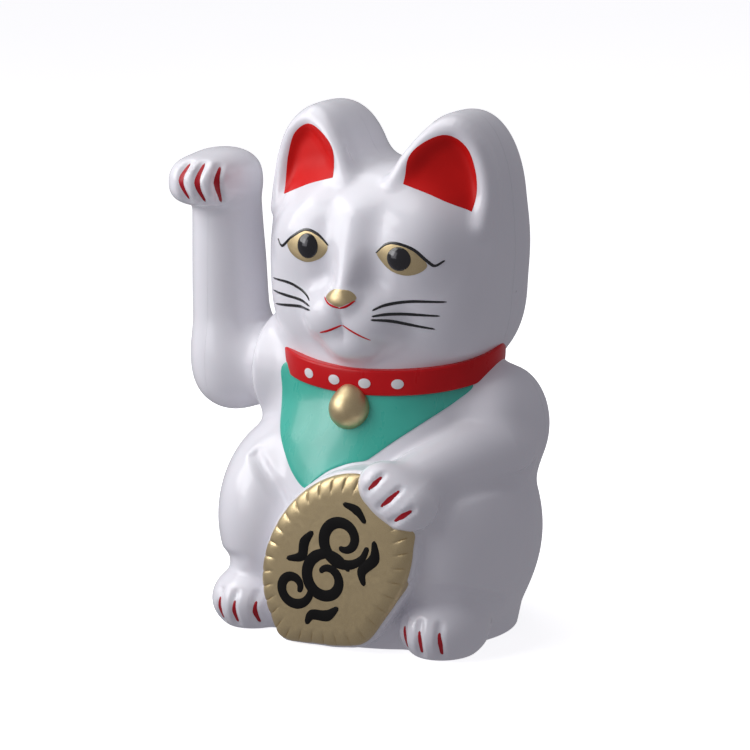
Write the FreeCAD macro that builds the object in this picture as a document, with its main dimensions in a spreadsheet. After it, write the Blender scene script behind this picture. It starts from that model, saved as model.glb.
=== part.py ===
"""Beckoning cat figurine with a swinging arm, as a parametric FreeCAD document.

A hollow two-half cat sits on a screwed base plate. One dry cell drives a coil, the coil kicks the
magnet of a pendulum, and the pendulum's axle carries the raised arm outside the shoulder.

Frame: millimetres, +Z up, origin at the middle of the base's underside. The cat faces -Y, so its
own left side is +X and its raised right arm stands at -X.
"""
import FreeCAD
import Part
import Sketcher

import math
import os
import re

from FreeCAD import Placement, Rotation, Vector

doc = FreeCAD.newDocument("BeckoningCat")

# ---------------------------------------------------------------- driving dimensions
# name, value in millimetres or degrees, meaning
DIMENSIONS = [
    ("wall", 2.2, "wall of the body shells"),
    ("arm_wall", 1.4, "wall of the raised arm"),
    ("split_y", 6.0, "plane where the front and rear shells meet"),
    ("size_box", 200.0, "side of the blocks that trim the body"),
    ("floor_thick", 3.4, "floor flange round the base opening"),
    ("plate_thick", 2.4, "base plate"),
    ("plate_gap", 0.2, "base plate to its recess, all round"),
    ("recess_a", 38.0, "half width of the recess under the floor"),
    ("recess_b", 33.0, "half depth of the recess under the floor"),
    ("opening_a", 35.0, "half width of the opening above the recess"),
    ("opening_b", 30.0, "half depth of the opening above the recess"),
    ("base_y", -1.0, "centre of the base outline"),
    ("shoulder_z", 76.0, "height of the arm's axle"),
    ("pad_face", 41.0, "flat shoulder pad, distance from the middle plane"),
    ("crown_radius", 14.0, "rounding of the top of the head"),
    ("pad_radius", 16.5, "flat shoulder pad"),
    ("arm_gap", 0.6, "shoulder pad to the arm's hub"),
    ("axle_r", 1.5, "axle"),
    ("running_gap", 0.05, "radial clearance of the axle in its bushes"),
    ("cell_r", 7.25, "dry cell"),
    ("cell_length", 50.5, "dry cell with its button"),
    ("cell_z", 10.4, "height of the cell's axis"),
    ("box_y", 4.0, "middle of the battery box"),
    ("box_half_x", 28.8, "battery box, half length outside"),
    ("box_half_y", 9.5, "battery box, half width outside"),
    ("box_top", 19.4, "battery box, top outside"),
    ("box_wall", 1.4, "battery box"),
    ("door_gap", 0.4, "battery door to its opening"),
    ("door_low", 0.3, "battery door's outer face above the table"),
    ("door_thick", 1.8, "battery door"),
    ("lever_x", -7.0, "plane in which the pendulum swings"),
    ("outboard_x", -26.0, "middle of the frame's outboard upright"),
    ("inboard_x", 9.0, "middle of the frame's inboard upright"),
    ("upright_thick", 3.0, "each upright of the frame"),
    ("upright_half_y", 8.0, "each upright of the frame, half width"),
    ("frame_thick", 2.5, "foot of the frame"),
    ("bush_r", 3.0, "outside of a bush"),
    ("screw_r", 1.2, "shank of a self-tapping screw"),
    ("screw_head_r", 2.1, "head of a self-tapping screw"),
    ("boss_r", 3.0, "screw boss"),
    ("magnet_r", 5.0, "pendulum magnet"),
    ("magnet_low", 29.0, "underside of the pendulum magnet"),
    ("coil_r", 8.5, "coil bobbin"),
]

sheet = doc.addObject("Spreadsheet::Sheet", "Dims")
DIM = {}
for row, (alias, value, meaning) in enumerate(DIMENSIONS, start=1):
    sheet.set(f"A{row}", alias)
    sheet.set(f"B{row}", str(value))
    sheet.set(f"C{row}", meaning)
    sheet.setAlias(f"B{row}", alias)
    DIM[alias] = value
doc.recompute()

# The stations of the one loft that makes trunk, neck and head: height, centre y, half width, half depth.
# They are evenly spaced, which keeps the loft from waving between them.
STATIONS = [
    (-11.0, -1.0, 39.0, 34.0),
    (3.0, -1.0, 42.0, 37.0),
    (17.0, -0.5, 44.4, 39.0),
    (31.0, 1.0, 45.0, 39.5),
    (45.0, 2.0, 44.0, 38.6),
    (59.0, 3.0, 41.4, 35.0),
    (73.0, 3.0, 37.4, 29.0),
    (87.0, 3.0, 34.6, 27.4),
    (101.0, 3.5, 38.0, 33.3),
    (115.0, 4.3, 39.0, 34.5),
    (129.0, 5.0, 37.5, 33.0),
    (143.0, 5.0, 35.0, 30.5),
]


# ---------------------------------------------------------------- helpers
def expression(text):
    """Writes the sheet's name before every alias in an expression."""
    def named(match):
        word = match.group(0)
        return "Dims." + word if word in DIM else word

    return re.sub(r"[a-z][a-z_]*", named, text)


def bind(obj, **sizes):
    """Binds properties to expressions of the sheet's aliases. A double underscore stands for a dot."""
    for prop, text in sizes.items():
        obj.setExpression(prop.replace("__", "."), expression(str(text)))
    return obj


def place(obj, x=0, y=0, z=0, turn=None):
    """Puts an object at x, y, z, each a number or an expression, turned by (axis, degrees)."""
    if turn:
        obj.Placement = Placement(Vector(), Rotation(Vector(*turn[0]), turn[1]))
    return bind(obj, Placement__Base__x=x, Placement__Base__y=y, Placement__Base__z=z)


def ellipsoid(name, centre, radii, turn=None):
    """radii are along x, y and z before the turn."""
    body = doc.addObject("Part::Ellipsoid", name)
    bind(body, Radius2=radii[0], Radius3=radii[1], Radius1=radii[2])
    return place(body, *centre, turn=turn)


def box(name, low, size):
    body = doc.addObject("Part::Box", name)
    bind(body, Length=size[0], Width=size[1], Height=size[2])
    return place(body, *low)


# How a piece drawn along Z is turned to lie along each axis.
ALONG = {
    "x": ((0, 1, 0), 90),
    "-x": ((0, 1, 0), -90),
    "y": ((1, 0, 0), -90),
    "-y": ((1, 0, 0), 90),
    "z": None,
    "-z": ((1, 0, 0), 180),
}


def cylinder(name, start, along, radius, length):
    body = doc.addObject("Part::Cylinder", name)
    bind(body, Radius=radius, Height=length)
    return place(body, *start, turn=ALONG[along])


def oval(name, centre, half_width, half_depth, height, turn=None):
    """An upright cylinder on an ellipse."""
    edge = doc.addObject("Part::Ellipse", name + "_edge")
    bind(edge, MajorRadius=half_width, MinorRadius=half_depth)
    place(edge, *centre, turn=turn)
    body = doc.addObject("Part::Extrusion", name)
    body.Base = edge
    body.DirMode = "Normal"
    body.Solid = True
    return bind(body, LengthFwd=height)


def loft(name, stations, inset="0"):
    """A smooth solid through ellipses: height, centre y, half width, half depth, and optionally centre x.

    inset shrinks every ellipse and lowers the top one.
    """
    rings = []
    for i, (z, y, a, b, *x) in enumerate(stations):
        ring = doc.addObject("Part::Ellipse", f"{name}_ring_{i}")
        bind(ring, MajorRadius=f"{max(a, b)} - {inset}", MinorRadius=f"{min(a, b)} - {inset}")
        height = f"{z} - {inset}" if i == len(stations) - 1 else z
        place(ring, x[0] if x else 0, y, height, turn=((0, 0, 1), 90) if b > a else None)
        rings.append(ring)
    body = doc.addObject("Part::Loft", name)
    body.Sections = rings
    body.Solid = True
    body.Ruled = False
    return body


def rounded_top(name, base, radius):
    """The base with its one topmost edge rounded."""
    doc.recompute()
    edges = base.Shape.Edges
    top = max(range(len(edges)), key=lambda i: edges[i].BoundBox.ZMin)
    size = sheet_value(radius)
    body = doc.addObject("Part::Fillet", name)
    body.Base = base
    body.Edges = [(top + 1, size, size)]
    return body


def boolean(kind, name):
    """A boolean that keeps its operands' seams, because merging faces breaks the curved ones."""
    body = doc.addObject(kind, name)
    body.Refine = False
    return body


def fuse(name, first, *others):
    """Joins the shapes one at a time, which curved surfaces survive better than all at once."""
    body = first
    for i, other in enumerate(others):
        joined = boolean("Part::Fuse", name if other is others[-1] else f"{name}_{i}")
        joined.Base = body
        joined.Tool = other
        body = joined
    return body


def common(name, *shapes):
    body = boolean("Part::MultiCommon", name)
    body.Shapes = list(shapes)
    return body


def cut(name, base, *tools):
    """base less every tool, one at a time."""
    body = base
    for i, tool in enumerate(tools):
        rest = boolean("Part::Cut", name if tool is tools[-1] else f"{name}_{i}")
        rest.Base = body
        rest.Tool = tool
        body = rest
    return body


def profile(body, name, plane, points):
    """A closed polygon sketched on one of the body's own origin planes, with a bound size per coordinate."""
    sketch = body.newObject("Sketcher::SketchObject", name)
    support = next(f for f in body.Origin.OriginFeatures if f.Role == plane)
    sketch.AttachmentSupport = [(support, "")]
    sketch.MapMode = "FlatFace"
    corners = [Vector(*(float(sheet_value(c)) for c in p), 0) for p in points]
    for i, corner in enumerate(corners):
        sketch.addGeometry(Part.LineSegment(corner, corners[(i + 1) % len(corners)]))
    for i in range(len(corners)):
        sketch.addConstraint(Sketcher.Constraint("Coincident", i, 2, (i + 1) % len(corners), 1))
    for i, point in enumerate(points):
        for kind, text in zip(("DistanceX", "DistanceY"), point):
            size = sheet_value(text)
            if abs(size) < 1e-9:
                axis = -2 if kind == "DistanceX" else -1
                sketch.addConstraint(Sketcher.Constraint("PointOnObject", i, 1, axis))
            else:
                index = sketch.addConstraint(Sketcher.Constraint(kind, -1, 1, i, 1, size))
                sketch.setExpression(f"Constraints[{index}]", expression(str(text)))
    return sketch


def sheet_value(text):
    """An expression's value now, so that a sketch starts where its dimensions will hold it."""
    named = re.sub(r"[a-z][a-z_]*", lambda m: f"({DIM[m.group(0)]})", str(text))
    total = doc.getObject("Dims").evalExpression(named)
    return float(total)


def turned(label, points, start, along):
    """A PartDesign body turned about its own Z from a half profile of (radius, height), laid along an axis."""
    body = doc.addObject("PartDesign::Body", label)
    sketch = profile(body, label + "_profile", "XZ_Plane", points)
    turn = body.newObject("PartDesign::Revolution", label + "_turn")
    turn.Profile = sketch
    turn.ReferenceAxis = (sketch, ["V_Axis"])
    turn.Angle = 360
    return place(body, *start, turn=ALONG[along])


KEPT = []


def keep(label, obj):
    """Marks an object as one of the cat's real pieces, written under its label."""
    obj.Label = label
    KEPT.append(obj)
    return obj


# ---------------------------------------------------------------- the cat's body, outside
def trim_block(name, low_y, low_z=0):
    """A large block that starts at low_y and low_z and reaches back and up."""
    return box(name, ("-size_box / 2", low_y, low_z), ("size_box", "size_box", "size_box"))


def coin(name):
    """The oval gold coin that the cat holds against its belly, leaning to its left."""
    edge = doc.addObject("Part::Ellipse", name + "_edge")
    bind(edge, MajorRadius=30.5, MinorRadius=24)
    upright = Rotation(Vector(1, 0, 0), 90)
    edge.Placement = Placement(Vector(), Rotation(Vector(0, 1, 0), -60) * upright)
    place(edge, 4, -36, 25)
    body = doc.addObject("Part::Extrusion", name)
    body.Base = edge
    body.DirMode = "Custom"
    body.Dir = Vector(0, -1, 0)
    body.Solid = True
    return bind(body, LengthFwd=9)


def paired(name, x, rest, radii, turn=None, inset="0"):
    """The same ellipsoid on the cat's right and left."""
    sized = [f"{r} - {inset}" for r in radii]
    sides = (("right", -1), ("left", 1))
    return [ellipsoid(f"{name}_{side}", (sign * x, *rest), sized, turn) for side, sign in sides]


ELBOW = Vector(38, -4, 58)
WRIST = Vector(22, -36, 47)


def forearm(name, inset="0"):
    """The lower arm that reaches forward and inward to the coin, as an ellipsoid laid from elbow to wrist."""
    middle = (ELBOW + WRIST) * 0.5
    arm = ellipsoid(name, middle, [f"{r} - {inset}" for r in (25, 12, 12)])
    arm.Placement = Placement(middle, Rotation(Vector(1, 0, 0), WRIST - ELBOW))
    return place(arm, middle.x, middle.y, middle.z)


def body_outside():
    """Everything moulded in one with the two shells, as one solid that ends on the table."""
    trunk = rounded_top("trunk", loft("trunk_loft", STATIONS), "crown_radius")
    thighs = paired("thigh", 30, (-7, 32), (21.5, 31, 31))
    feet = paired("foot", 33, (-28, 8), (13.5, 16, 11))
    ears = paired("ear", 23, (7, 132), (15, 17, 28))
    muzzle = ellipsoid("muzzle", (0, -22, 98), (15, 10.5, 11))
    nose = ellipsoid("nose", (0, -28, 105), (5, 5.5, 5))
    upper_arm = ellipsoid("upper_arm", (37, 4, 64), (13.5, 17, 19))
    paw = ellipsoid("paw", (21, -39, 46), (10.5, 8, 10))
    collar = oval("collar", (0, 3.6, 80.9), 36.4, 29.5, 7.8, turn=((1, 0, 0), 10))
    bell = ellipsoid("bell", (0, -26, 71), (6.5, 6.5, 6.5))
    tail = ellipsoid("tail", (5, 38, 17), (9, 7, 13))
    pad = cylinder("shoulder_pad", ("-pad_face", 0, "shoulder_z"), "x", "pad_radius", 16)
    whole = fuse(
        "figure", trunk, *ears, *thighs, *feet, muzzle, nose, collar, bell,
        upper_arm, forearm("forearm"), paw, coin("coin"), tail, pad,
    )
    return common("figure_on_table", whole, trim_block("above_table", "-size_box / 2"))


def body_inside():
    """The hollow of the two shells, the opening in the floor and the recess for the base plate."""
    hollow = fuse(
        "hollow",
        rounded_top("trunk_hollow", loft("trunk_hollow_loft", STATIONS, "wall"), "crown_radius - wall"),
        *paired("thigh_hollow", 30, (-7, 32), (21.5, 31, 31), inset="wall"),
        *paired("ear_hollow", 25, (9, 134), (8.5, 10, 17)),
        ellipsoid("upper_arm_hollow", (37, 4, 64), ("13.5 - wall", "17 - wall", "19 - wall")),
        forearm("forearm_hollow", inset="wall"),
    )
    above_floor = trim_block("above_floor", "-size_box / 2", "floor_thick")
    room = common("room", hollow, above_floor)
    opening = oval("opening", (0, "base_y", -1), "opening_a", "opening_b", "floor_thick + 2")
    recess = oval("recess", (0, "base_y", -1), "recess_a", "recess_b", "plate_thick + 1")
    return [room, opening, recess]


def ear_dishes():
    """The dished faces of the two ears."""
    return paired("ear_dish", 24, (-9.5, 150.5), (7, 5, 7))


# Screw bosses stand on the inner edge of the floor flange, far enough in for the plate to hold the heads.
BOSS_ANGLE = 40.0
BOSS_X = 34.8 * math.cos(math.radians(BOSS_ANGLE))
BOSS_Y = 29.8 * math.sin(math.radians(BOSS_ANGLE))
BOSSES = [(sx * BOSS_X, sy * BOSS_Y + DIM["base_y"]) for sx in (-1, 1) for sy in (-1, 1)]
# Locating pegs hold the halves in line: two in the head and two in the haunches, as x and z.
PEGS = [(sx * x, z) for x, z in ((34.5, 112.0), (44.5, 26.0)) for sx in (-1, 1)]
PEG_R = 1.5
PEG_BOSS_R = 3.2
PEG_REACH = 4.0


def shells():
    """The front and rear shells, with their screw bosses, locating pegs and the hole for the axle."""
    outside = body_outside()
    hole = cylinder("axle_hole", ("-pad_face - 1", 0, "shoulder_z"), "x", "axle_r * 2", 20)
    shell = cut("shell", outside, *body_inside(), *ear_dishes(), hole)
    fronts, rears, sockets, pegs, front_pilots, rear_pilots = [], [], [], [], [], []
    for i, (x, y) in enumerate(BOSSES):
        post = cylinder(f"screw_boss_{i}", (x, y, "plate_thick"), "z", "boss_r", 11)
        pilot = cylinder(f"pilot_{i}", (x, y, "plate_thick - 1"), "z", "screw_r + 0.05", 10)
        in_front = y < DIM["split_y"]
        (fronts if in_front else rears).append(post)
        (front_pilots if in_front else rear_pilots).append(pilot)
    for i, (x, z) in enumerate(PEGS):
        fronts.append(cylinder(f"peg_boss_front_{i}", (x, "split_y", z), "-y", PEG_BOSS_R, PEG_REACH + 2))
        rears.append(cylinder(f"peg_boss_rear_{i}", (x, "split_y", z), "y", PEG_BOSS_R, PEG_REACH + 2))
        sockets.append(cylinder(f"peg_socket_{i}", (x, "split_y", z), "-y", PEG_R + 0.1, PEG_REACH + 0.5))
        pegs.append(cylinder(f"peg_{i}", (x, "split_y", z), "-y", PEG_R, PEG_REACH))
    behind = trim_block("behind_split", "split_y")
    in_figure = common("front_bosses", fuse("front_boss_set", *fronts), outside)
    front = cut("front_half", shell, behind)
    front = fuse("front_fused", front, in_figure)
    keep("front_shell", cut("front_piece", front, *sockets, *front_pilots))
    rear_bosses = common("rear_bosses", fuse("rear_boss_set", *rears), outside)
    rear = common("rear_half", shell, behind)
    rear = fuse("rear_fused", rear, rear_bosses, *pegs)
    keep("rear_shell", cut("rear_piece", rear, *rear_pilots))


# ---------------------------------------------------------------- base plate, battery box and door
FRAME_POSTS = [(-19.0, -10.0), (19.0, -10.0)]
BOARD_POSTS = [(-12.0, -20.0), (12.0, -20.0)]
BOARD_LOW = 6.4
BOARD_THICK = 1.2


def base_plate():
    """The oval plate that closes the floor, with the battery box moulded on it."""
    plate = oval("plate", (0, "base_y", 0), "recess_a - plate_gap", "recess_b - plate_gap", "plate_thick")
    outer = box(
        "box_outer",
        ("-box_half_x", "box_y - box_half_y", 0),
        ("2 * box_half_x", "2 * box_half_y", "box_top"),
    )
    inner = box(
        "box_inner",
        ("-box_half_x + box_wall", "box_y - box_half_y + box_wall", -1),
        ("2 * (box_half_x - box_wall)", "2 * (box_half_y - box_wall)", "box_top - box_wall + 1"),
    )
    tabs = [
        box(f"tab_slot_{i}", ("-box_half_x - 0.1", y, "plate_thick - 0.2"), ("box_wall + 0.2", 3.4, 1.9))
        for i, y in enumerate(("box_y - 5.7", "box_y + 2.3"))
    ]
    contact_slots = [
        box(f"contact_slot_{i}", (x, "box_y - box_half_y - 0.1", 7.8), (0.9, "box_wall + 0.2", 4.6))
        for i, x in enumerate(("box_half_x - box_wall - 0.8", "-box_half_x + box_wall - 0.1"))
    ]
    notch = box("finger_notch", ("box_half_x - box_wall - 0.1", "box_y - 4", -1), (3.1, 8, 2))
    posts, drills = [], []
    for i, (x, y) in enumerate(FRAME_POSTS):
        posts.append(cylinder(f"frame_post_{i}", (x, y, 0), "z", 3, "box_top"))
        drills.append(cylinder(f"post_drill_{i}", (x, y, "box_top - 9"), "z", "screw_r + 0.05", 10))
    for i, (x, y) in enumerate(BOARD_POSTS):
        posts.append(cylinder(f"board_post_{i}", (x, y, 0), "z", 1.8, BOARD_LOW))
    for i, (x, y) in enumerate(BOSSES):
        drills.append(cylinder(f"plate_hole_{i}", (x, y, -1), "z", "screw_r + 0.3", 5))
        drills.append(cylinder(f"plate_sink_{i}", (x, y, -1), "z", "screw_head_r + 0.2", 2.4))
    solid = fuse("base_solid", plate, outer, *posts)
    keep("base_plate", cut("base_piece", solid, inner, *tabs, *contact_slots, notch, *drills))


def screw_profile(length):
    """Half profile of a pan-head self-tapping screw, head down, with its cross recess left as a dimple."""
    return [
        (0, 0.6),
        (0.8, 0),
        ("screw_head_r - 0.4", 0),
        ("screw_head_r", 0.4),
        ("screw_head_r", 1.2),
        ("screw_r", 1.2),
        ("screw_r", length - 1.2),
        (0, length),
    ]


def screw_group(label, places, length):
    """Identical screws as one node of separate solids. Each place is start and direction."""
    group = []
    for i, (start, along) in enumerate(places):
        group.append(turned(f"{label}_{i}", screw_profile(length), start, along))
    compound = doc.addObject("Part::Compound", label)
    compound.Links = group
    keep(label, compound)


def battery_door():
    """A flush cover with two hooked tabs at its hinge end and ribs for the thumb at the other."""
    low_x = "-box_half_x + box_wall + door_gap"
    low_y = "box_y - box_half_y + box_wall + 0.3"
    cover = box(
        "door_cover",
        (low_x, low_y, "door_low"),
        ("2 * (box_half_x - box_wall - door_gap)", "2 * (box_half_y - box_wall - 0.3)", "door_thick"),
    )
    tabs = [
        box(f"door_tab_{i}", ("-box_half_x + 0.3", y, "plate_thick + 0.1"), ("box_wall + 2.2", 2.8, 1.1))
        for i, y in enumerate(("box_y - 5.4", "box_y + 2.6"))
    ]
    stems = [
        box(f"door_stem_{i}", (low_x, y, "door_low + door_thick - 0.3"), (2.1, 2.8, 1.8))
        for i, y in enumerate(("box_y - 5.4", "box_y + 2.6"))
    ]
    grooves = [
        box(f"grip_groove_{i}", (f"box_half_x - box_wall - {back}", "box_y - 4", "door_low - 1"), (0.8, 8, 1.5))
        for i, back in enumerate((6.0, 8.0, 10.0, 12.0))
    ]
    keep("battery_door", cut("door_piece", fuse("door_solid", cover, *tabs, *stems), *grooves))


def dry_cell():
    """An AA size cell with its positive button at +X."""
    points = [
        (0, 0),
        ("cell_r - 0.6", 0),
        ("cell_r", 0.5),
        ("cell_r", "cell_length - 1.8"),
        ("cell_r - 0.8", "cell_length - 1.0"),
        (2.75, "cell_length - 1.0"),
        (2.75, "cell_length"),
        (0, "cell_length"),
    ]
    start = ("box_half_x - box_wall - 0.4 - cell_length", "box_y", "cell_z")
    keep("dry_cell", turned("dry_cell_body", points, start, "x"))


def coned_spring():
    """The negative contact's spring: half turns of wire that widen towards the plate."""
    wire_r = 0.35
    half_turns = 6
    small_r, large_r = 4.6, 5.8
    foot_x = -DIM["box_half_x"] + DIM["box_wall"] + 0.4 + wire_r
    cell_end = DIM["box_half_x"] - DIM["box_wall"] - 0.4 - DIM["cell_length"]
    step = (cell_end - wire_r - foot_x) / half_turns
    ends = []
    for i in range(half_turns + 1):
        radius = large_r + (small_r - large_r) * i / half_turns
        ends.append(Vector(foot_x + step * i, DIM["box_y"], DIM["cell_z"] + (-1) ** i * radius))
    arcs = []
    for i, (near, far) in enumerate(zip(ends, ends[1:])):
        bulge = Vector(0, (-1) ** i * (far - near).Length / 2, 0)
        arcs.append(Part.Arc(near, (near + far) * 0.5 + bulge, far).toShape())
    path = Part.Wire(arcs)
    section = Part.Wire(Part.makeCircle(wire_r, ends[0], Vector(0, 1, 0)))
    spring = doc.addObject("Part::Feature", "battery_spring")
    spring.Shape = path.makePipeShell([section], True, False)
    print("spring volume", round(spring.Shape.Volume, 3), "of", round(math.pi * wire_r**2 * path.Length, 3))
    return spring


def contacts():
    """The two contact plates with their solder tails, and the coned spring of the negative one."""
    for label, x in (
        ("positive_contact", "box_half_x - box_wall - 0.4"),
        ("negative_contact", "-box_half_x + box_wall"),
    ):
        blade = box(label + "_blade", (x, "box_y - 5", 4.4), (0.4, 10, 11.5))
        strip = box(label + "_tail", (x, "box_y - box_half_y - 2.5", 8.2), (0.4, 8, 3.8))
        keep(label, fuse(label + "_piece", blade, strip))
    keep("battery_spring", coned_spring())


# ---------------------------------------------------------------- swing unit
def mechanism_frame():
    """The U-shaped frame: a foot on the battery box, two uprights and a bore for a bush in each."""
    foot = box("frame_foot", (-29, -13.5, "box_top"), (52, 25.5, "frame_thick"))
    uprights, windows, bores = [], [], []
    strip = ("upright_thick", "2 * upright_half_y", "shoulder_z + 6 - box_top")
    window = ("upright_thick + 2", "2 * upright_half_y - 6", 34)
    for side in ("outboard", "inboard"):
        x = f"{side}_x - upright_thick / 2"
        through = f"{x} - 1"
        uprights.append(box(f"{side}_upright", (x, "-upright_half_y", "box_top"), strip))
        windows.append(box(f"{side}_window", (through, "-upright_half_y + 3", 30), window))
        bores.append(cylinder(f"{side}_bore", (through, 0, "shoulder_z"), "x", "bush_r", "upright_thick + 2"))
    holes = [
        cylinder(f"foot_hole_{i}", (x, y, "box_top - 1"), "z", "screw_r + 0.3", 6)
        for i, (x, y) in enumerate(FRAME_POSTS)
    ]
    keep("mechanism_frame", cut("frame_piece", fuse("frame_solid", foot, *uprights), *windows, *bores, *holes))


def bushes():
    """Two flanged bushes that carry the axle, flanges towards the pendulum."""
    points = [
        ("axle_r + running_gap", 0),
        ("bush_r", 0),
        ("bush_r", "upright_thick"),
        ("bush_r + 1.5", "upright_thick"),
        ("bush_r + 1.5", "upright_thick + 1"),
        ("axle_r + running_gap", "upright_thick + 1"),
    ]
    outboard = ("outboard_x - upright_thick / 2", 0, "shoulder_z")
    inboard = ("inboard_x + upright_thick / 2", 0, "shoulder_z")
    keep("outboard_bush", turned("outboard_bush_body", points, outboard, "x"))
    keep("inboard_bush", turned("inboard_bush_body", points, inboard, "-x"))


def axle():
    """A steel pin with chamfered ends, from inside the inboard upright to the middle of the arm."""
    length = 70.0
    points = [
        (0, 0),
        ("axle_r - 0.4", 0),
        ("axle_r", 0.4),
        ("axle_r", length - 0.4),
        ("axle_r - 0.4", length),
        (0, length),
    ]
    keep("arm_axle", turned("arm_axle_body", points, (-54, 0, "shoulder_z"), "x"))


def retaining_clips():
    """Two open clips in the axle's place between bush and pendulum, 0.2 mm off each bush."""
    group = []
    for i, x in enumerate(("outboard_x + upright_thick / 2 + 1.2", "inboard_x - upright_thick / 2 - 2.0")):
        ring = cylinder(f"clip_ring_{i}", (x, 0, "shoulder_z"), "x", "bush_r + 0.8", 0.8)
        hole = cylinder(f"clip_hole_{i}", (f"{x} - 1", 0, "shoulder_z"), "x", "axle_r", 3)
        gap = box(f"clip_gap_{i}", (f"{x} - 1", -0.9, "shoulder_z"), (3, 1.8, 6))
        group.append(cut(f"clip_{i}", ring, hole, gap))
    compound = doc.addObject("Part::Compound", "clips")
    compound.Links = group
    keep("retaining_clips", compound)


def pendulum():
    """The lever pressed on the axle, its steel counterweight and the magnet under its foot."""
    hub = cylinder("lever_hub", ("lever_x - 6", 0, "shoulder_z"), "x", 5, 12)
    blade = box("lever_blade", ("lever_x - 1.5", -4, "magnet_low + 4"), (3, 8, "shoulder_z - magnet_low - 4"))
    foot = cylinder("lever_foot", ("lever_x", 0, "magnet_low + 4"), "z", "magnet_r + 0.6", 3)
    bore = cylinder("lever_bore", ("lever_x - 8", 0, "shoulder_z"), "x", "axle_r", 16)
    keep("pendulum_lever", cut("lever_piece", fuse("lever_solid", hub, blade, foot), bore))
    weight = box("weight_block", ("lever_x + 1.5", -8.2, "magnet_low + 8"), (9.5, 20, 12))
    keep("counterweight", weight)
    magnet = [
        (0, 0),
        ("magnet_r - 0.4", 0),
        ("magnet_r", 0.4),
        ("magnet_r", 3.6),
        ("magnet_r - 0.4", 4),
        (0, 4),
    ]
    keep("pendulum_magnet", turned("pendulum_magnet_body", magnet, ("lever_x", 0, "magnet_low"), "z"))


def coil():
    """The bobbin on the frame's foot and its copper winding."""
    low = "box_top + frame_thick"
    bobbin = [
        (1.6, 0),
        ("coil_r", 0),
        ("coil_r", 0.8),
        (3, 0.8),
        (3, 4.8),
        ("coil_r", 4.8),
        ("coil_r", 5.6),
        (1.6, 5.6),
    ]
    keep("coil_bobbin", turned("coil_bobbin_body", bobbin, ("lever_x", 0, low), "z"))
    winding = [(3, 0.8), ("coil_r - 0.7", 0.8), ("coil_r - 0.7", 4.8), (3, 4.8)]
    keep("coil_winding", turned("coil_winding_body", winding, ("lever_x", 0, low), "z"))


def drive_board():
    """The small circuit board in front of the battery box, with its chip, capacitor and resistors."""
    board = box("board_blank", (-15, -22.5, BOARD_LOW), (30, 14.5, BOARD_THICK))
    notches = [
        cylinder(f"board_notch_{i}", (x, y, BOARD_LOW - 1), "z", 3.3, 4)
        for i, (x, y) in enumerate(FRAME_POSTS)
    ]
    keep("circuit_board", cut("board_piece", board, *notches))
    top = BOARD_LOW + BOARD_THICK
    legs = []
    for i in range(4):
        for side, y in (("front", -18.4), ("back", -13.6)):
            legs.append(box(f"chip_leg_{side}_{i}", (-5.1 + 1.27 * i, y, top), (0.4, 1.0, 0.5)))
    chip = box("chip_block", (-5.5, -17.4, top), (5, 3.8, 1.5))
    keep("drive_chip", fuse("drive_chip_piece", chip, *legs))
    can = [(0, 0), (2.2, 0), (2.5, 0.3), (2.5, 6.7), (2.2, 7), (0, 7)]
    keep("capacitor", turned("capacitor_body", can, (6, -15.5, top), "z"))
    parts = [box(f"resistor_{i}", (-12.5 + 3.4 * i, -12.6, top), (2, 1.2, 0.6)) for i in range(3)]
    compound = doc.addObject("Part::Compound", "resistor_set")
    compound.Links = parts
    keep("resistors", compound)


def wire_path(points):
    """Straight runs joined by tangent arcs, each 0.45 of the shorter run over the tangent of half the turn."""
    edges = []
    last = points[0]
    for before, corner, after in zip(points, points[1:], points[2:]):
        into = corner - before
        out = after - corner
        turn = into.getAngle(out)
        back = 0.45 * min(into.Length, out.Length)
        a = corner - Vector(into).normalize() * back
        b = corner + Vector(out).normalize() * back
        middle = (a + b) * 0.5
        radius = back / math.tan(turn / 2)
        print(f"bend of radius {radius:.1f} mm")
        to_centre = (middle - corner).normalize()
        centre = corner + to_centre * (radius / math.cos(turn / 2))
        edges.append(Part.LineSegment(last, a).toShape())
        edges.append(Part.Arc(a, centre - to_centre * radius, b).toShape())
        last = b
    edges.append(Part.LineSegment(last, points[-1]).toShape())
    return Part.Wire(edges)


def leads():
    """The red and black leads from the contacts' tails to the board."""
    tail_y = DIM["box_y"] - DIM["box_half_y"] - 2.5
    end_x = DIM["box_half_x"] - DIM["box_wall"] - 0.2
    top = BOARD_LOW + BOARD_THICK
    lead_r = 0.5
    for label, side in (("red_lead", 1), ("black_lead", -1)):
        points = [
            Vector(side * end_x, tail_y, 10),
            Vector(side * end_x, tail_y - 6.5, 10.6),
            Vector(side * 19.5, tail_y - 8.5, 11.6),
            Vector(side * 12.5, tail_y - 6.0, 12.4),
            Vector(side * 12.5, tail_y - 6.0, top),
        ]
        path = wire_path(points)
        section = Part.Wire(Part.makeCircle(lead_r, points[0], points[1] - points[0]))
        lead = doc.addObject("Part::Feature", label)
        lead.Shape = path.makePipeShell([section], True, False)
        print(label, "volume", round(lead.Shape.Volume, 3), "of", round(math.pi * lead_r**2 * path.Length, 3))
        keep(label, lead)


# ---------------------------------------------------------------- the raised arm
ARM_X = -58.0
ARM_STATIONS = [
    (76.0, 0.0, 12.0, 14.0, -56.0),
    (90.0, 0.0, 11.6, 13.5, -57.5),
    (104.0, 0.0, 11.3, 13.2, -58.0),
    (118.0, -0.3, 10.8, 12.6, -58.3),
    (131.0, -1.0, 10.4, 12.2, -58.5),
]


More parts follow.
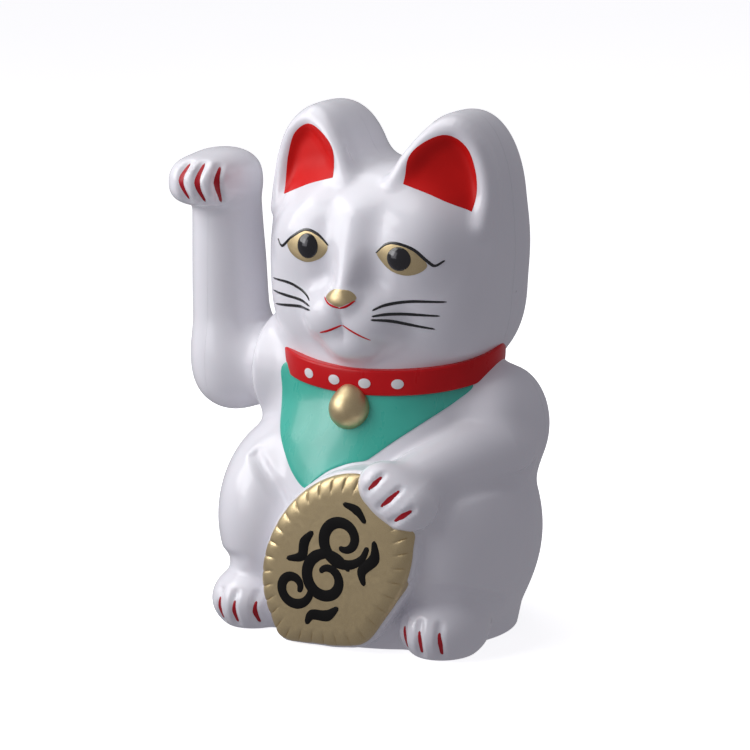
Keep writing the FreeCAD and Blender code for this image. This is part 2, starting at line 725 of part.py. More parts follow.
def raised_arm():
    """The arm as two cemented halves that meet on a plane square to the axle, the hub on the inner one."""
    hub = cylinder("arm_hub", ("-pad_face - arm_gap", 0, "shoulder_z"), "-x", 14, 11)
    elbow = ellipsoid("elbow", (-55.5, 0, 77), (13.5, 15, 17))
    upper = loft("arm_length", ARM_STATIONS)
    paw = ellipsoid("raised_paw", (-58.5, -7, 132), (12, 19, 11))
    solid = fuse("arm_solid", hub, elbow, upper, paw)
    hollow = fuse(
        "arm_hollow",
        ellipsoid("elbow_hollow", (-55.5, 0, 77), ("13.5 - arm_wall", "15 - arm_wall", "17 - arm_wall")),
        loft("arm_length_hollow", ARM_STATIONS, inset="arm_wall"),
        ellipsoid("paw_hollow", (-58.5, -7, 132), ("12 - arm_wall", "19 - arm_wall", "11 - arm_wall")),
    )
    side = box("inner_side", (ARM_X, "-size_box / 2", 0), ("size_box", "size_box", "size_box"))
    shell = cut("arm_shell", solid, hollow)
    boss = cylinder("axle_boss", ("-pad_face - arm_gap - 1", 0, "shoulder_z"), "-x", 4, 14.4)
    bore = cylinder("arm_bore", ("-pad_face", 0, "shoulder_z"), "-x", "axle_r", 13.5)
    inner = fuse("inner_half", common("inner_shell", shell, side), boss)
    keep("arm_inner_half", cut("inner_piece", inner, bore))
    keep("arm_outer_half", cut("outer_piece", shell, side))


# ---------------------------------------------------------------- build, check and write
def main():
    shells()
    base_plate()
    screw_group("base_screws", [((x, y, 0.1), "z") for x, y in BOSSES], 9)
    battery_door()
    dry_cell()
    contacts()
    mechanism_frame()
    screw_group("frame_screws", [((x, y, "box_top + frame_thick + 1.2"), "-z") for x, y in FRAME_POSTS], 9)
    bushes()
    axle()
    retaining_clips()
    pendulum()
    coil()
    drive_board()
    leads()
    raised_arm()
    doc.recompute()
    failed = [f"{o.Label}: {o.State}" for o in doc.Objects if set(o.State) & {"Invalid", "Error"}]
    if failed:
        raise SystemExit("failed objects: " + "; ".join(failed))
    os.makedirs("parts", exist_ok=True)
    for obj in KEPT:
        shape = obj.Shape
        if shape.isNull() or not shape.isValid() or not shape.Solids:
            raise SystemExit(f"{obj.Label} has no valid shape")
    for obj in KEPT:
        shape = obj.Shape
        whole = Part.Compound(shape.Solids) if len(shape.Solids) > 1 else shape.Solids[0]
        whole.exportStep(f"parts/{obj.Label}.step")
        size = whole.BoundBox
        span = ", ".join(f"{a:.1f} to {b:.1f}" for a, b in (
            (size.XMin, size.XMax),
            (size.YMin, size.YMax),
            (size.ZMin, size.ZMax),
        ))
        print(f"{obj.Label}: {len(shape.Solids)} solids, {whole.Volume:.1f} mm3, within {span}")


main()
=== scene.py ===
"""The looks of a beckoning cat figurine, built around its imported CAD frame.

The white mouldings are smooth distance fields, meshed into two body shells and two arm halves. Paint,
collar, bell and coin are pieces of their own laid on those fields. Lengths in the shapes are millimetres.
In the fields, p and q are arrays of points, m the points mirrored onto the cat's left, and d distances,
which are negative inside.
"""

import math

import bmesh
import bpy
import numpy as np
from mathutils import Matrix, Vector


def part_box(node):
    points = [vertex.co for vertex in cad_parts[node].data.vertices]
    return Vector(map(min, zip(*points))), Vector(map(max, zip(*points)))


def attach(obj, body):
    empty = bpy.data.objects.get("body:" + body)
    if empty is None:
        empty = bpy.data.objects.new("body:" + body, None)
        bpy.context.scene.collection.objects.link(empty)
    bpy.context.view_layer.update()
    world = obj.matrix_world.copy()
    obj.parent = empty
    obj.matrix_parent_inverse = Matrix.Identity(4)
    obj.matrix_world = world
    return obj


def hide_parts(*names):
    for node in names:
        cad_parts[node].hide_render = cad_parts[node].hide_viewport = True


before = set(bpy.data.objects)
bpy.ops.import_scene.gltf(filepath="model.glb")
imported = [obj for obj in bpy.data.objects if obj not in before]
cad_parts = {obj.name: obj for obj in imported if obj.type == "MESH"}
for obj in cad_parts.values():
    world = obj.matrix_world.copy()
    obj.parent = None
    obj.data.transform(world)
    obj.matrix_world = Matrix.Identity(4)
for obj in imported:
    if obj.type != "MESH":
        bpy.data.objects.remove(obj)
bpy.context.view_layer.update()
MM = 0.001

# ---------------------------------------------------------------- fields
WALL = 2.2
FLOOR = 3.4
SPLIT_Y = 6.0
SHOULDER = np.array((0.0, 0.0, 76.0))
ARM_SPLIT_X = -58.0
PAD_FACE = -41.0


def vec(*numbers):
    return np.array(numbers, float)


def size(v):
    return np.sqrt((v * v).sum(-1))


def join(a, b, soft):
    """The union of two fields, rounded over a width of soft."""
    h = np.clip(0.5 + 0.5 * (b - a) / soft, 0, 1)
    return b + (a - b) * h - soft * h * (1 - h)


def carve(a, b, soft):
    """Field a less field b, rounded over a width of soft."""
    return -join(-a, b, soft)


def meet(a, b, soft):
    """What fields a and b share, rounded over a width of soft."""
    return -join(-a, -b, soft)


def ellipsoid(p, centre, radii, turn=None):
    q = p - vec(*centre)
    if turn is not None:
        q = q @ turn
    r = vec(*radii)
    k0 = size(q / r)
    k1 = size(q / (r * r))
    return k0 * (k0 - 1) / np.maximum(k1, 1e-6)


def dome(p, centre, low, high, power):
    """A squarish ellipsoid whose radii may differ on the two sides of each axis."""
    q = p - vec(*centre)
    r = np.where(q < 0, vec(*low), vec(*high))
    u = np.maximum(np.abs(q) / r, 1e-6)
    g = (u**power).sum(-1) ** (1 / power)
    slope = size(u ** (power - 1) / r) * g ** (1 - power)
    return (g - 1) / np.maximum(slope, 1e-6)


def loaf(p, centre, low, high, outline, crown):
    """A dome whose front view and whose depth have their own squareness."""
    q = p - vec(*centre)
    r = np.where(q < 0, vec(*low), vec(*high))
    x, y, z = np.moveaxis(np.maximum(np.abs(q) / r, 1e-6), -1, 0)
    u = (x**outline + z**outline) ** (1 / outline)
    g = (u**crown + y**crown) ** (1 / crown)
    across = (u / g) ** (crown - 1)
    slope = np.sqrt((across * (x / u) ** (outline - 1) / r[..., 0]) ** 2
                    + (across * (z / u) ** (outline - 1) / r[..., 2]) ** 2
                    + ((y / g) ** (crown - 1) / r[..., 1]) ** 2)
    return (g - 1) / np.maximum(slope, 1e-6)


def limb(p, a, b, ra, rb):
    """A round bar from a to b whose radius runs from ra to rb."""
    a, b = vec(*a), vec(*b)
    axis = b - a
    t = np.clip((p - a) @ axis / (axis @ axis), 0, 1)
    return size(p - a - t[..., None] * axis) - (ra + (rb - ra) * t)


def rope(p, points, radius):
    """A round bar along a smooth line through points."""
    line = smooth(points, 4)
    d = np.full(len(p), 1e3)
    for a, b in zip(line, line[1:]):
        d = np.minimum(d, limb(p, a, b, radius, radius))
    return d


def smooth(points, steps, closed=False):
    """Catmull-Rom samples through given points."""
    pts = np.array(points, float)
    if closed:
        pts = np.vstack((pts[-1], pts, pts[0], pts[1]))
    else:
        pts = np.vstack((2 * pts[0] - pts[1], pts, 2 * pts[-1] - pts[-2]))
    out = []
    for a, b, c, d in zip(pts, pts[1:], pts[2:], pts[3:]):
        for t in np.arange(steps) / steps:
            out.append(0.5 * (2 * b + (c - a) * t + (2 * a - 5 * b + 4 * c - d) * t**2
                              + (3 * b - a - 3 * c + d) * t**3))
    if not closed:
        out.append(pts[-2])
    return np.array(out)


def oval(x, y, a, b):
    """Distance to an oval, near enough close to its outline."""
    k0 = np.sqrt((x / a) ** 2 + (y / b) ** 2)
    k1 = np.sqrt((x / a**2) ** 2 + (y / b**2) ** 2)
    return k0 * (k0 - 1) / np.maximum(k1, 1e-6)


def column(p, stations):
    """A solid of oval sections. Each station is height, centre x, centre y, half width and half depth."""
    table = smooth(stations, 8)
    cx, cy, a, b = (np.interp(p[..., 2], table[:, 0], table[:, i]) for i in range(1, 5))
    return oval(p[..., 0] - cx, p[..., 1] - cy, a, b)


def oval_plate(p, centre, a, b, low, high):
    """An upright oval prism."""
    side = oval(p[..., 0] - centre[0], p[..., 1] - centre[1], a, b)
    return np.maximum(side, np.maximum(low - p[..., 2], p[..., 2] - high))


def add(d, p, low, high, soft, shape, dig=False):
    """Joins shape(points) to d, or digs it out, working only on the points between low and high."""
    near = np.all((p > vec(*low)) & (p < vec(*high)), axis=-1)
    if near.any():
        combine = carve if dig else join
        d[near] = combine(d[near], shape(p[near]), soft)
    return d


# ---------------------------------------------------------------- the outside of the mouldings
TRUNK = [
    (-11, 0, -1.0, 39.0, 34.0),
    (3, 0, -1.0, 42.0, 37.0),
    (17, 0, -0.5, 44.4, 39.0),
    (31, 0, 1.0, 45.0, 39.5),
    (45, 0, 2.0, 44.0, 38.6),
    (59, 0, 3.0, 41.4, 35.0),
    (73, 0, 3.0, 36.8, 28.8),
    (87, 0, 3.0, 32.6, 27.0),
    (101, 0, 3.0, 29.0, 24.0),
]
EAR_RIM = [
    (8.2, -12.2, 139.0),
    (12.0, -10.6, 146.6),
    (18.2, -8.2, 152.8),
    (24.8, -6.3, 155.3),
    (30.6, -5.2, 151.6),
    (34.0, -4.8, 144.5),
    (35.5, -5.4, 136.0),
    (35.2, -7.7, 127.5),
]
# Middles of the grooves between the toes, on the cat's left.
TOES = (26.0, 32.2, 38.2)
# Grooves on the feet and the left hand, as x and z.
FOOT_GROOVES = [[(x, 12.0), (x + 0.3, 8.0), (x, 2.0)] for x in TOES]
HAND_GROOVES = [
    [(22.0, 57.4), (20.2, 55.1), (17.7, 52.5)],
    [(28.2, 54.1), (25.4, 51.0), (21.8, 47.8)],
    [(33.0, 48.7), (30.1, 46.7), (25.9, 43.9)],
]
PAW_GROOVES = [
    [(-59.8, -20.6, 141.4), (-60.7, -24.1, 135.7), (-58.7, -22.6, 129.0)],
    [(-55.0, -19.6, 141.6), (-54.9, -23.9, 135.4), (-53.7, -21.2, 128.5)],
    [(-50.4, -17.2, 140.7), (-49.8, -20.3, 135.3), (-50.6, -16.5, 127.8)],
]
# Creases on the surface: under the forearm, beside the belly, and above the feet on both sides.
FOREARM_CREASE = [
    (28.5, -44.0, 38.6),
    (30.5, -41.4, 40.2),
    (33.0, -36.0, 43.5),
    (37.9, -30.7, 48.5),
    (41.4, -25.6, 50.6),
    (45.1, -17.9, 51.4),
    (48.3, -8.9, 51.8),
    (50.7, -1.8, 53.8),
]
BELLY_CREASE = [(-31.2, -29.6, 54.0), (-24.8, -32.7, 47.9), (-20.1, -33.6, 43.6), (-15.0, -35.1, 39.0)]
FOOT_CREASE = [
    (24.0, -42.0, 21.6),
    (30.3, -40.6, 21.6),
    (36.1, -35.1, 20.8),
    (43.0, -29.0, 19.4),
    (47.6, -16.0, 14.4),
]


def ear_lobe(q):
    """A cone-like lobe cut off in front by the tilted plane of the ear's painted floor."""
    lobe = loaf(q, (23.0, 3.5, 128.5), (16.6, 17, 31.4), (15.8, 22, 31.4), 2.05, 3.2)
    floor = (-34.6 + 0.3613 * q[..., 0] + 0.1293 * q[..., 2] - q[..., 1]) / 1.07
    return meet(lobe, floor, 1.5)


def ears(d, m):
    low, high = (-2, -22, 105), (46, 42, 170)
    d = add(d, m, low, high, 6, ear_lobe)
    return add(d, m, low, high, 4.0, lambda q: rope(q, EAR_RIM, 2.2))


def face(d, m):
    """Adds the cheeks, brow, nose and chin, and digs the eye sockets and the line under the nose."""
    low, high = (-2, -50, 80), (40, -5, 142)
    d = add(d, m, low, high, 5, lambda q: ellipsoid(q, (16.5, -14.3, 119.5), (12.5, 10.0, 13)))
    d = add(d, m, low, high, 7, lambda q: limb(q, (0, -18.6, 127), (0, -27.4, 107), 4.6, 4.6))
    d = add(d, m, low, high, 5, lambda q: ellipsoid(q, (9.0, -33.0, 112), (4.0, 7.0, 9)), dig=True)
    d = add(d, m, low, high, 6, lambda q: ellipsoid(q, (6.0, -22.6, 99.0), (9.6, 8.8, 8.0)))
    d = add(d, m, low, high, 4, lambda q: ellipsoid(q, (0, -22.6, 90.8), (8.0, 7.0, 5.2)))
    d = add(d, m, low, high, 2.5, lambda q: ellipsoid(q, (0, -28.4, 104.8), (5.0, 4.2, 3.6)))
    return add(d, m, low, high, 2.4, lambda q: limb(q, (0, -34.0, 102), (0, -33.4, 97.5), 0.8, 0.8), dig=True)


def grooves(d, p, lines, radius, soft):
    """Digs a shallow channel along each line, which lies on the surface."""
    for line in lines:
        low, high = line.min(0) - 5, line.max(0) + 5
        d = add(d, p, low, high, soft, lambda q: rope(q, line, radius), dig=True)
    return d


# Lines already found on a field, by name, because the fields are read in many chunks.
LANDED = {}


def landed(key, field, lines, radius, depth):
    """Lines thrown from the front onto a field, and raised so that a rope along them digs to a depth."""
    if key not in LANDED:
        LANDED[key] = []
        for line in lines:
            ground, up = laid(field, [(x, 0, z) for x, z in line], (0, 1, 0))
            LANDED[key].append(ground + up * (radius - depth))
    return LANDED[key]


def creases(key, field, lines, radius, depth):
    """Lines on a field, raised so that a rope along them digs to a depth."""
    if key not in LANDED:
        LANDED[key] = []
        for line in lines:
            ground = settle(field, np.array(line), 4.0)
            LANDED[key].append(ground + unit(slope(field, ground)) * (radius - depth))
    return LANDED[key]


def nape(p):
    """The plane that slopes the back of the head in to the neck."""
    return 0.75 * (p[..., 1] - 34) - 0.66 * (p[..., 2] - 94)


def body(p):
    """The outside of the two body shells, with the grooves of the toes and the creases."""
    m = p.copy()
    m[..., 0] = np.abs(m[..., 0])
    d = grooves(plain_body(p), m, landed("foot", plain_body, FOOT_GROOVES, 1.0, 0.5), 1.0, 1.6)
    d = grooves(d, p, creases("arm", plain_body, [FOREARM_CREASE, BELLY_CREASE], 2.0, 0.9), 2.0, 2.4)
    d = grooves(d, m, creases("foot_top", plain_body, [FOOT_CREASE], 2.0, 0.6), 2.0, 2.4)
    return grooves(d, p, landed("hand", plain_body, HAND_GROOVES, 1.0, 0.45), 1.0, 1.4)


def plain_body(p):
    """The body without grooves, collar, bell and coin."""
    m = p.copy()
    m[..., 0] = np.abs(m[..., 0])
    d = meet(column(p, TRUNK), p[..., 2] - 98, 4)
    d = add(d, p, (-60, -50, 55), (60, 60, 175), 3,
            lambda q: meet(dome(q, (0, 4.5, 109), (38.7, 29.6, 35), (38.7, 33.5, 34), 2.7), nape(q), 9))
    d = ears(d, m)
    d = face(d, m)
    # thigh, foot, upper arm, forearm, hand, tail, shoulder pad and coin
    d = add(d, m, (-5, -60, -20), (65, 45, 80), 4, lambda q: ellipsoid(q, (30, -7, 32), (21.5, 31, 31)))
    d = add(d, m, (10, -60, -20), (60, 0, 30), 2.5,
            lambda q: ellipsoid(q, (33, -26.0, 7.6), (13.5, 15.6, 10.8)))
    d = add(d, p, (10, -30, 25), (65, 40, 100), 6, lambda q: ellipsoid(q, (37, 4, 64), (13.5, 17, 19)))
    d = add(d, p, (0, -60, 20), (65, 30, 85), 2.2,
            lambda q: limb(q, (38, -4, 58.5), (22.5, -35.5, 49.8), 13.2, 9.2))
    d = add(d, p, (0, -60, 25), (45, -15, 75), 4.5,
            lambda q: limb(q, (19.0, -40.6, 53.2), (28.6, -39.8, 47.4), 6.8, 8.2))
    d = add(d, p, (-20, 20, -10), (30, 60, 45), 3, lambda q: ellipsoid(q, (5, 38, 17), (9, 6.8, 13)))
    d = add(d, p, (-50, -30, 45), (-15, 30, 105), 5, shoulder_pad)
    return add(d, p, (-45, -50, -15), (45, -25, 65), 1.2, coin_seat)


def shoulder_pad(p):
    """A round pad with a rolled edge, square to the axle, for the raised arm to swing against."""
    radius, edge = 17.0, 3.0
    q = np.stack((size(p[..., 1:] - SHOULDER[1:]) - radius, PAD_FACE - p[..., 0]), -1) + edge
    return size(np.maximum(q, 0)) + np.minimum(q.max(-1), 0) - edge


# The coin is an oval that leans to the cat's left.
COIN_CENTRE = (4.5, 27.8)
COIN_LEAN = math.radians(37.4)
COIN_A, COIN_B = 30.9, 22.4
COIN_FRONT = -45.0


def coin_axes(p):
    """Distances along and across the coin's long axis."""
    x, z = p[..., 0] - COIN_CENTRE[0], p[..., 2] - COIN_CENTRE[1]
    c, s = math.cos(COIN_LEAN), math.sin(COIN_LEAN)
    return x * s + z * c, x * c - z * s


def coin_turn(along, across):
    """The angle round the coin, as its oval's parameter."""
    return np.arctan2(across / COIN_B, along / COIN_A) % math.tau


def coin_swell(turn):
    """The outline against the coin's oval: two lower corners stand out, with a straighter edge between."""
    corners = 0.085 * np.exp(-(((turn - 1.97) / 0.22) ** 2)) + 0.065 * np.exp(-(((turn - 3.12) / 0.2) ** 2))
    return 1 + corners - 0.04 * np.exp(-(((turn - 2.6) / 0.25) ** 2))


def coin_seat(p):
    """The white lip that stands behind the coin's edge."""
    lip, deep, edge = 0.9, 3.6, 1.4
    along, across = coin_axes(p)
    swell = coin_swell(coin_turn(along, across))
    side = oval(along, across, (COIN_A + lip) * swell, (COIN_B + lip) * swell)
    q = np.stack((side, COIN_FRONT + deep - p[..., 1]), -1) + edge
    return size(np.maximum(q, 0)) + np.minimum(q.max(-1), 0) - edge


# ---------------------------------------------------------------- the hollows
BOSSES = [(x, y) for x in (-26.66, 26.66) for y in (-20.16, 18.16)]


def body_cavity(p, outside):
    """The room inside the shells, with the floor's opening and recess, screw bosses and the axle's hole."""
    room = np.maximum(outside + WALL, FLOOR - p[..., 2])
    for x, y in BOSSES:
        post = np.maximum(size(p[..., :2] - vec(x, y)) - 3.0, p[..., 2] - 13.4)
        room = np.maximum(room, -post)
    room = np.minimum(room, oval_plate(p, (0, -1), 35.0, 30.0, -9, FLOOR + 1))
    room = np.minimum(room, oval_plate(p, (0, -1), 38.0, 33.0, -9, 2.4))
    hole = np.maximum(size(p[..., 1:] - SHOULDER[1:]) - 3.0, p[..., 0] + 30)
    return np.minimum(room, hole)


def body_shell(p):
    outside = body(p)
    return np.maximum(outside, -body_cavity(p, outside))


ARM = [
    (56, -55.0, 0.0, 11.0, 13.0),
    (69, -55.4, 0.0, 12.4, 14.4),
    (82, -56.8, 0.0, 11.9, 14.0),
    (95, -57.6, 0.0, 11.5, 13.4),
    (108, -58.0, 0.0, 11.1, 13.0),
    (121, -58.3, -0.3, 10.6, 12.3),
    (134, -58.4, -0.8, 10.3, 11.9),
    (147, -58.5, -1.5, 10.0, 11.5),
]


def arm(p):
    """The outside of the raised arm, with the grooves of its paw."""
    return grooves(plain_arm(p), p, creases("paw", plain_arm, PAW_GROOVES, 1.2, 0.6), 1.2, 1.8)


def plain_arm(p):
    d = meet(meet(column(p, ARM), p[..., 2] - 142.4, 12), 62.0 - p[..., 2], 12)
    d = join(d, ellipsoid(p, (-55.5, 0, 77), (13.5, 15, 17)), 4)
    d = join(d, dome(p, (-58.5, -7.5, 134.2), (11.4, 16.8, 8.0), (11.4, 16.8, 8.5), 2.6), 4)
    hub = size(p[..., 1:] - SHOULDER[1:]) - 13.4
    hub = np.maximum(hub, np.maximum(p[..., 0] + 41.6, -52.6 - p[..., 0]))
    return join(d, hub, 3)


ARM_WALL = 1.8


def arm_shell(p):
    outside = arm(p)
    hole = np.maximum(size(p[..., 1:] - SHOULDER[1:]) - 1.5, -54 - p[..., 0])
    boss = np.maximum(size(p[..., 1:] - SHOULDER[1:]) - 4.0, -57.0 - p[..., 0])
    room = np.minimum(np.maximum(outside + ARM_WALL, -boss), hole)
    return np.maximum(outside, -room)


# ---------------------------------------------------------------- meshing
TETRA = np.array(((1, -1, -1), (-1, 1, -1), (-1, -1, 1), (1, 1, 1)), float)
CHUNK = 200000


def in_chunks(field, p):
    return np.concatenate([field(p[i:i + CHUNK]) for i in range(0, len(p), CHUNK)])


def slope(field, p, h=0.04):
    return sum(e * in_chunks(field, p + h * e)[:, None] for e in TETRA) / (4 * h)


def unit(v):
    return v / np.maximum(np.sqrt((v * v).sum(-1, keepdims=True)), 1e-9)


def settle(field, p, reach):
    """Moves points onto the field's zero surface, each by at most reach a round."""
    for _ in range(3):
        d = in_chunks(field, p)
        g = slope(field, p)
        step = -d[:, None] * g / np.maximum((g * g).sum(-1, keepdims=True), 0.05)
        far = np.sqrt((step * step).sum(-1, keepdims=True))
        p = p + step * np.minimum(1, reach / np.maximum(far, 1e-9))
    return p


CORNERS = np.array([(i, j, k) for i in (0, 1) for j in (0, 1) for k in (0, 1)])
CELL_EDGES = [(a, b) for a in range(8) for b in range(a + 1, 8) if np.abs(CORNERS[a] - CORNERS[b]).sum() == 1]


def surface_net(field, low, high, cell):
    """Vertices and quads of a field's zero surface on a grid of cells."""
    axes = [np.arange(a, b + cell, cell) for a, b in zip(low, high)]
    shape = tuple(len(a) for a in axes)
    grid = np.stack(np.meshgrid(*axes, indexing="ij"), -1).reshape(-1, 3)
    values = in_chunks(field, grid).reshape(shape)
    inside = values < 0
    corner = [values[i:shape[0] - 1 + i, j:shape[1] - 1 + j, k:shape[2] - 1 + k] for i, j, k in CORNERS]
    count = sum((c < 0).astype(np.int8) for c in corner)
    active = (count > 0) & (count < 8)
    index = np.full(active.shape, -1)
    index[active] = np.arange(active.sum())
    at = np.stack([c[active] for c in corner], -1)
    total = np.zeros((len(at), 3))
    crossings = np.zeros(len(at))
    for a, b in CELL_EDGES:
        cross = (at[:, a] < 0) != (at[:, b] < 0)
        t = np.where(cross, at[:, a] / np.where(cross, at[:, a] - at[:, b], 1), 0)
        total += cross[:, None] * (CORNERS[a] + t[:, None] * (CORNERS[b] - CORNERS[a]))
        crossings += cross
    cells = np.argwhere(active)
    verts = (cells + total / crossings[:, None]) * cell + vec(*[a[0] for a in axes])
    quads = []
    for axis in range(3):
        u, v = (axis + 1) % 3, (axis + 2) % 3
        first = np.take(inside, range(shape[axis] - 1), axis)
        second = np.take(inside, range(1, shape[axis]), axis)
        for flipped, mask in ((False, first & ~second), (True, ~first & second)):
            at = np.argwhere(mask)
            at = at[(at[:, u] > 0) & (at[:, v] > 0) & (at[:, u] < shape[u] - 1) & (at[:, v] < shape[v] - 1)]
            ring = []
            for du, dv in ((-1, -1), (0, -1), (0, 0), (-1, 0)):
                c = at.copy()
                c[:, u] += du
                c[:, v] += dv
                ring.append(index[c[:, 0], c[:, 1], c[:, 2]])
            ring = np.stack(ring, -1)
            quads.append(ring[:, ::-1] if flipped else ring)
    return verts, np.concatenate(quads)


def new_mesh(name, verts, faces):
    """A mesh in metres from points in millimetres and faces of three or four corners each."""
    mesh = bpy.data.meshes.new(name)
    mesh.vertices.add(len(verts))
    mesh.vertices.foreach_set("co", (np.asarray(verts) * MM).ravel().astype(np.float32))
    sides = np.array([len(f) for f in faces])
    mesh.loops.add(int(sides.sum()))
    mesh.loops.foreach_set("vertex_index", np.concatenate([np.asarray(f) for f in faces]).astype(np.int32))
    mesh.polygons.add(len(faces))
    mesh.polygons.foreach_set("loop_start", (np.cumsum(sides) - sides).astype(np.int32))
    mesh.update(calc_edges=True)
    mesh.validate()
    return mesh


def turned_out(name, bm):
    """A mesh with its faces turned outwards, from a bmesh that is freed."""
    bmesh.ops.recalc_face_normals(bm, faces=bm.faces[:])
    mesh = bpy.data.meshes.new(name)
    bm.to_mesh(mesh)
    bm.free()
    return mesh


def smooth_up_to(mesh, degrees):
    """Smooth shading, with sharp edges where faces meet at more than an angle."""
    mesh.polygons.foreach_set("use_smooth", np.ones(len(mesh.polygons), bool))
    mesh.set_sharp_from_angle(angle=math.radians(degrees))


def shade(mesh, field):
    """Normals from the field on curved faces and flat ones on the cut faces."""
    mesh.polygons.foreach_set("use_smooth", np.ones(len(mesh.polygons), bool))
    co = np.zeros(len(mesh.vertices) * 3)
    mesh.vertices.foreach_get("co", co)
    curved = unit(slope(field, co.reshape(-1, 3) / MM))
    corner = np.zeros(len(mesh.loops), np.int32)
    mesh.loops.foreach_get("vertex_index", corner)
    flat = np.zeros(len(mesh.polygons) * 3)
    mesh.polygons.foreach_get("normal", flat)
    flat = flat.reshape(-1, 3)
    sides = np.zeros(len(mesh.polygons), np.int32)
    mesh.polygons.foreach_get("loop_total", sides)
    face_of = np.repeat(np.arange(len(sides)), sides)
    normals = curved[corner]
    away = (normals * flat[face_of]).sum(-1) < 0.5
    normals[away] = flat[face_of][away]
    mesh.normals_split_custom_set(normals)


def shown(name, mesh, material):
    piece = bpy.data.objects.new(name, mesh)
    bpy.context.scene.collection.objects.link(piece)
    mesh.materials.clear()
    mesh.materials.append(material)
    return piece


def trimmed(bm, origin, normal):
    """Cuts away what lies in front of a plane and closes the cut with flat faces."""
    cut = bmesh.ops.bisect_plane(
        bm, geom=bm.verts[:] + bm.edges[:] + bm.faces[:], dist=1e-7,
        plane_co=Vector(origin) * MM, plane_no=Vector(normal), clear_outer=True,
    )
    rim = [e for e in cut["geom_cut"] if isinstance(e, bmesh.types.BMEdge) and e.is_boundary]
    bmesh.ops.triangle_fill(bm, edges=rim, use_beauty=True, use_dissolve=False, normal=Vector(normal))


def halves(names, field, low, high, cell, axis, at, gap, material, floor=False):
    """Meshes a hollow moulding and splits it square to an axis into two pieces, gap apart."""
    verts, quads = surface_net(field, low, high, cell)
    verts = settle(field, verts, cell / 2)
    whole = bmesh.new()
    whole.from_mesh(new_mesh("whole", verts, quads))
    if floor:
        trimmed(whole, (0, 0, 0), (0, 0, -1))
    pieces = []
    for name, side in zip(names, (1, -1)):
        bm = whole.copy()
        origin, normal = [0, 0, 0], [0, 0, 0]
        origin[axis] = at - side * gap / 2
        normal[axis] = side
        trimmed(bm, origin, normal)
        mesh = turned_out(name, bm)
        shade(mesh, field)
        pieces.append(shown(name, mesh, material))
    whole.free()
    return pieces


def land(field, start, heading, reach=90.0):
    """Where rays from start along heading first meet a field."""
    p = start.copy()
    heading = unit(np.broadcast_to(heading, p.shape).astype(float))
    gone = np.zeros(len(p))
    for _ in range(90):
        step = np.clip(field(p) * 0.7, -0.5, 6)
        step[gone > reach] = 0
        p = p + heading * step[:, None]
        gone += step
    return p


def laid(field, points, heading):
    """Where points thrown along heading land on a field, and the normals there."""
    flat = np.array(points, float)
    heading = unit(np.broadcast_to(vec(*heading), flat.shape).astype(float))
    ground = land(field, flat - heading * 40, heading)
    return ground, unit(slope(field, ground))


# How far paint reaches under the surface that it lies on.
SINK = 0.12


def patch(name, outline, field, heading, material, lift, centre=None, rings=14, bulge=0.0):
    """A thin coat of paint inside an outline of points, thrown along heading onto a field. It may bulge."""
    line = np.array(outline, float)
    middle = line.mean(0) if centre is None else vec(*centre)
    n = len(line)
    points = [middle]
    for k in range(1, rings + 1):
        points.extend(middle + (line - middle) * k / rings)
    ground, up = laid(field, points, heading)
    part = np.concatenate(([0], np.repeat(np.arange(1, rings + 1) / rings, n)))
    height = lift + bulge * (1 - part**2)
    height[-n:] = lift * 0.45
    top = ground + up * height[:, None]
    bottom = ground - up * SINK
    verts = np.vstack((top, bottom))
    under = len(top)
    faces = []
    for k in range(rings):
        for i in range(n):
            j = (i + 1) % n
            a, b = 1 + k * n + i, 1 + k * n + j
            if k == 0:
                faces.append((0, 1 + i, 1 + j))
                faces.append((under, under + 1 + j, under + 1 + i))
            if k < rings - 1:
                c, d = b + n, a + n
                faces.append((a, d, c, b))
                faces.append((under + a, under + b, under + c, under + d))
            else:
                faces.append((a, under + a, under + b, b))
    return oriented(name, verts, faces, material)


def oriented(name, verts, faces, material):
    """A piece whose faces all point outwards, with smooth shading up to 50 degrees."""
    bm = bmesh.new()
    bm.from_mesh(new_mesh(name, verts, faces))
    mesh = turned_out(name, bm)
    smooth_up_to(mesh, 50)
    return shown(name, mesh, material)


def stroke(name, points, widths, field, heading, material, lift, sink=SINK):
    """A painted line through points. The widths are spread evenly along it."""
    line = smooth(points, 10)
    n = len(line)
    heading = vec(*heading)
    along = unit(np.gradient(line, axis=0))
    across = unit(np.cross(along, heading))
    width = np.interp(np.linspace(0, 1, n), np.linspace(0, 1, len(widths)), widths)
    # Rounded ends.
    run = np.concatenate(([0], np.cumsum(size(np.diff(line, axis=0)))))
    end = np.minimum(run, run[-1] - run)
    half = width / 2
    half = np.where(end < half, np.sqrt(np.maximum(half**2 - (half - end) ** 2, (0.25 * half) ** 2)), half)
    ribs = []
    for offset in (-1, -0.55, 0, 0.55, 1):
        ribs.append(line + across * (half * offset)[:, None])
    flat = np.concatenate(ribs)
    ground, up = laid(field, flat, heading)
    height = np.repeat((0.35 * lift, 0.9 * lift, lift, 0.9 * lift, 0.35 * lift), n)
    top = ground + up * height[:, None]
    bottom = ground - up * sink
    verts = np.vstack((top, bottom))
    under = 5 * n
    faces = []
    for r in range(4):
        for i in range(n - 1):
            a, b, c, d = r * n + i, r * n + i + 1, (r + 1) * n + i + 1, (r + 1) * n + i
            faces.append((a, b, c, d))
            faces.append((under + a, under + d, under + c, under + b))
    for r in (0, 4):
        for i in range(n - 1):
            a, b = r * n + i, r * n + i + 1
            faces.append((a, under + a, under + b, b))
    for i in (0, n - 1):
        for r in range(4):
            a, b = r * n + i, (r + 1) * n + i
            faces.append((a, b, under + b, under + a))
    return oriented(name, verts, faces, material)


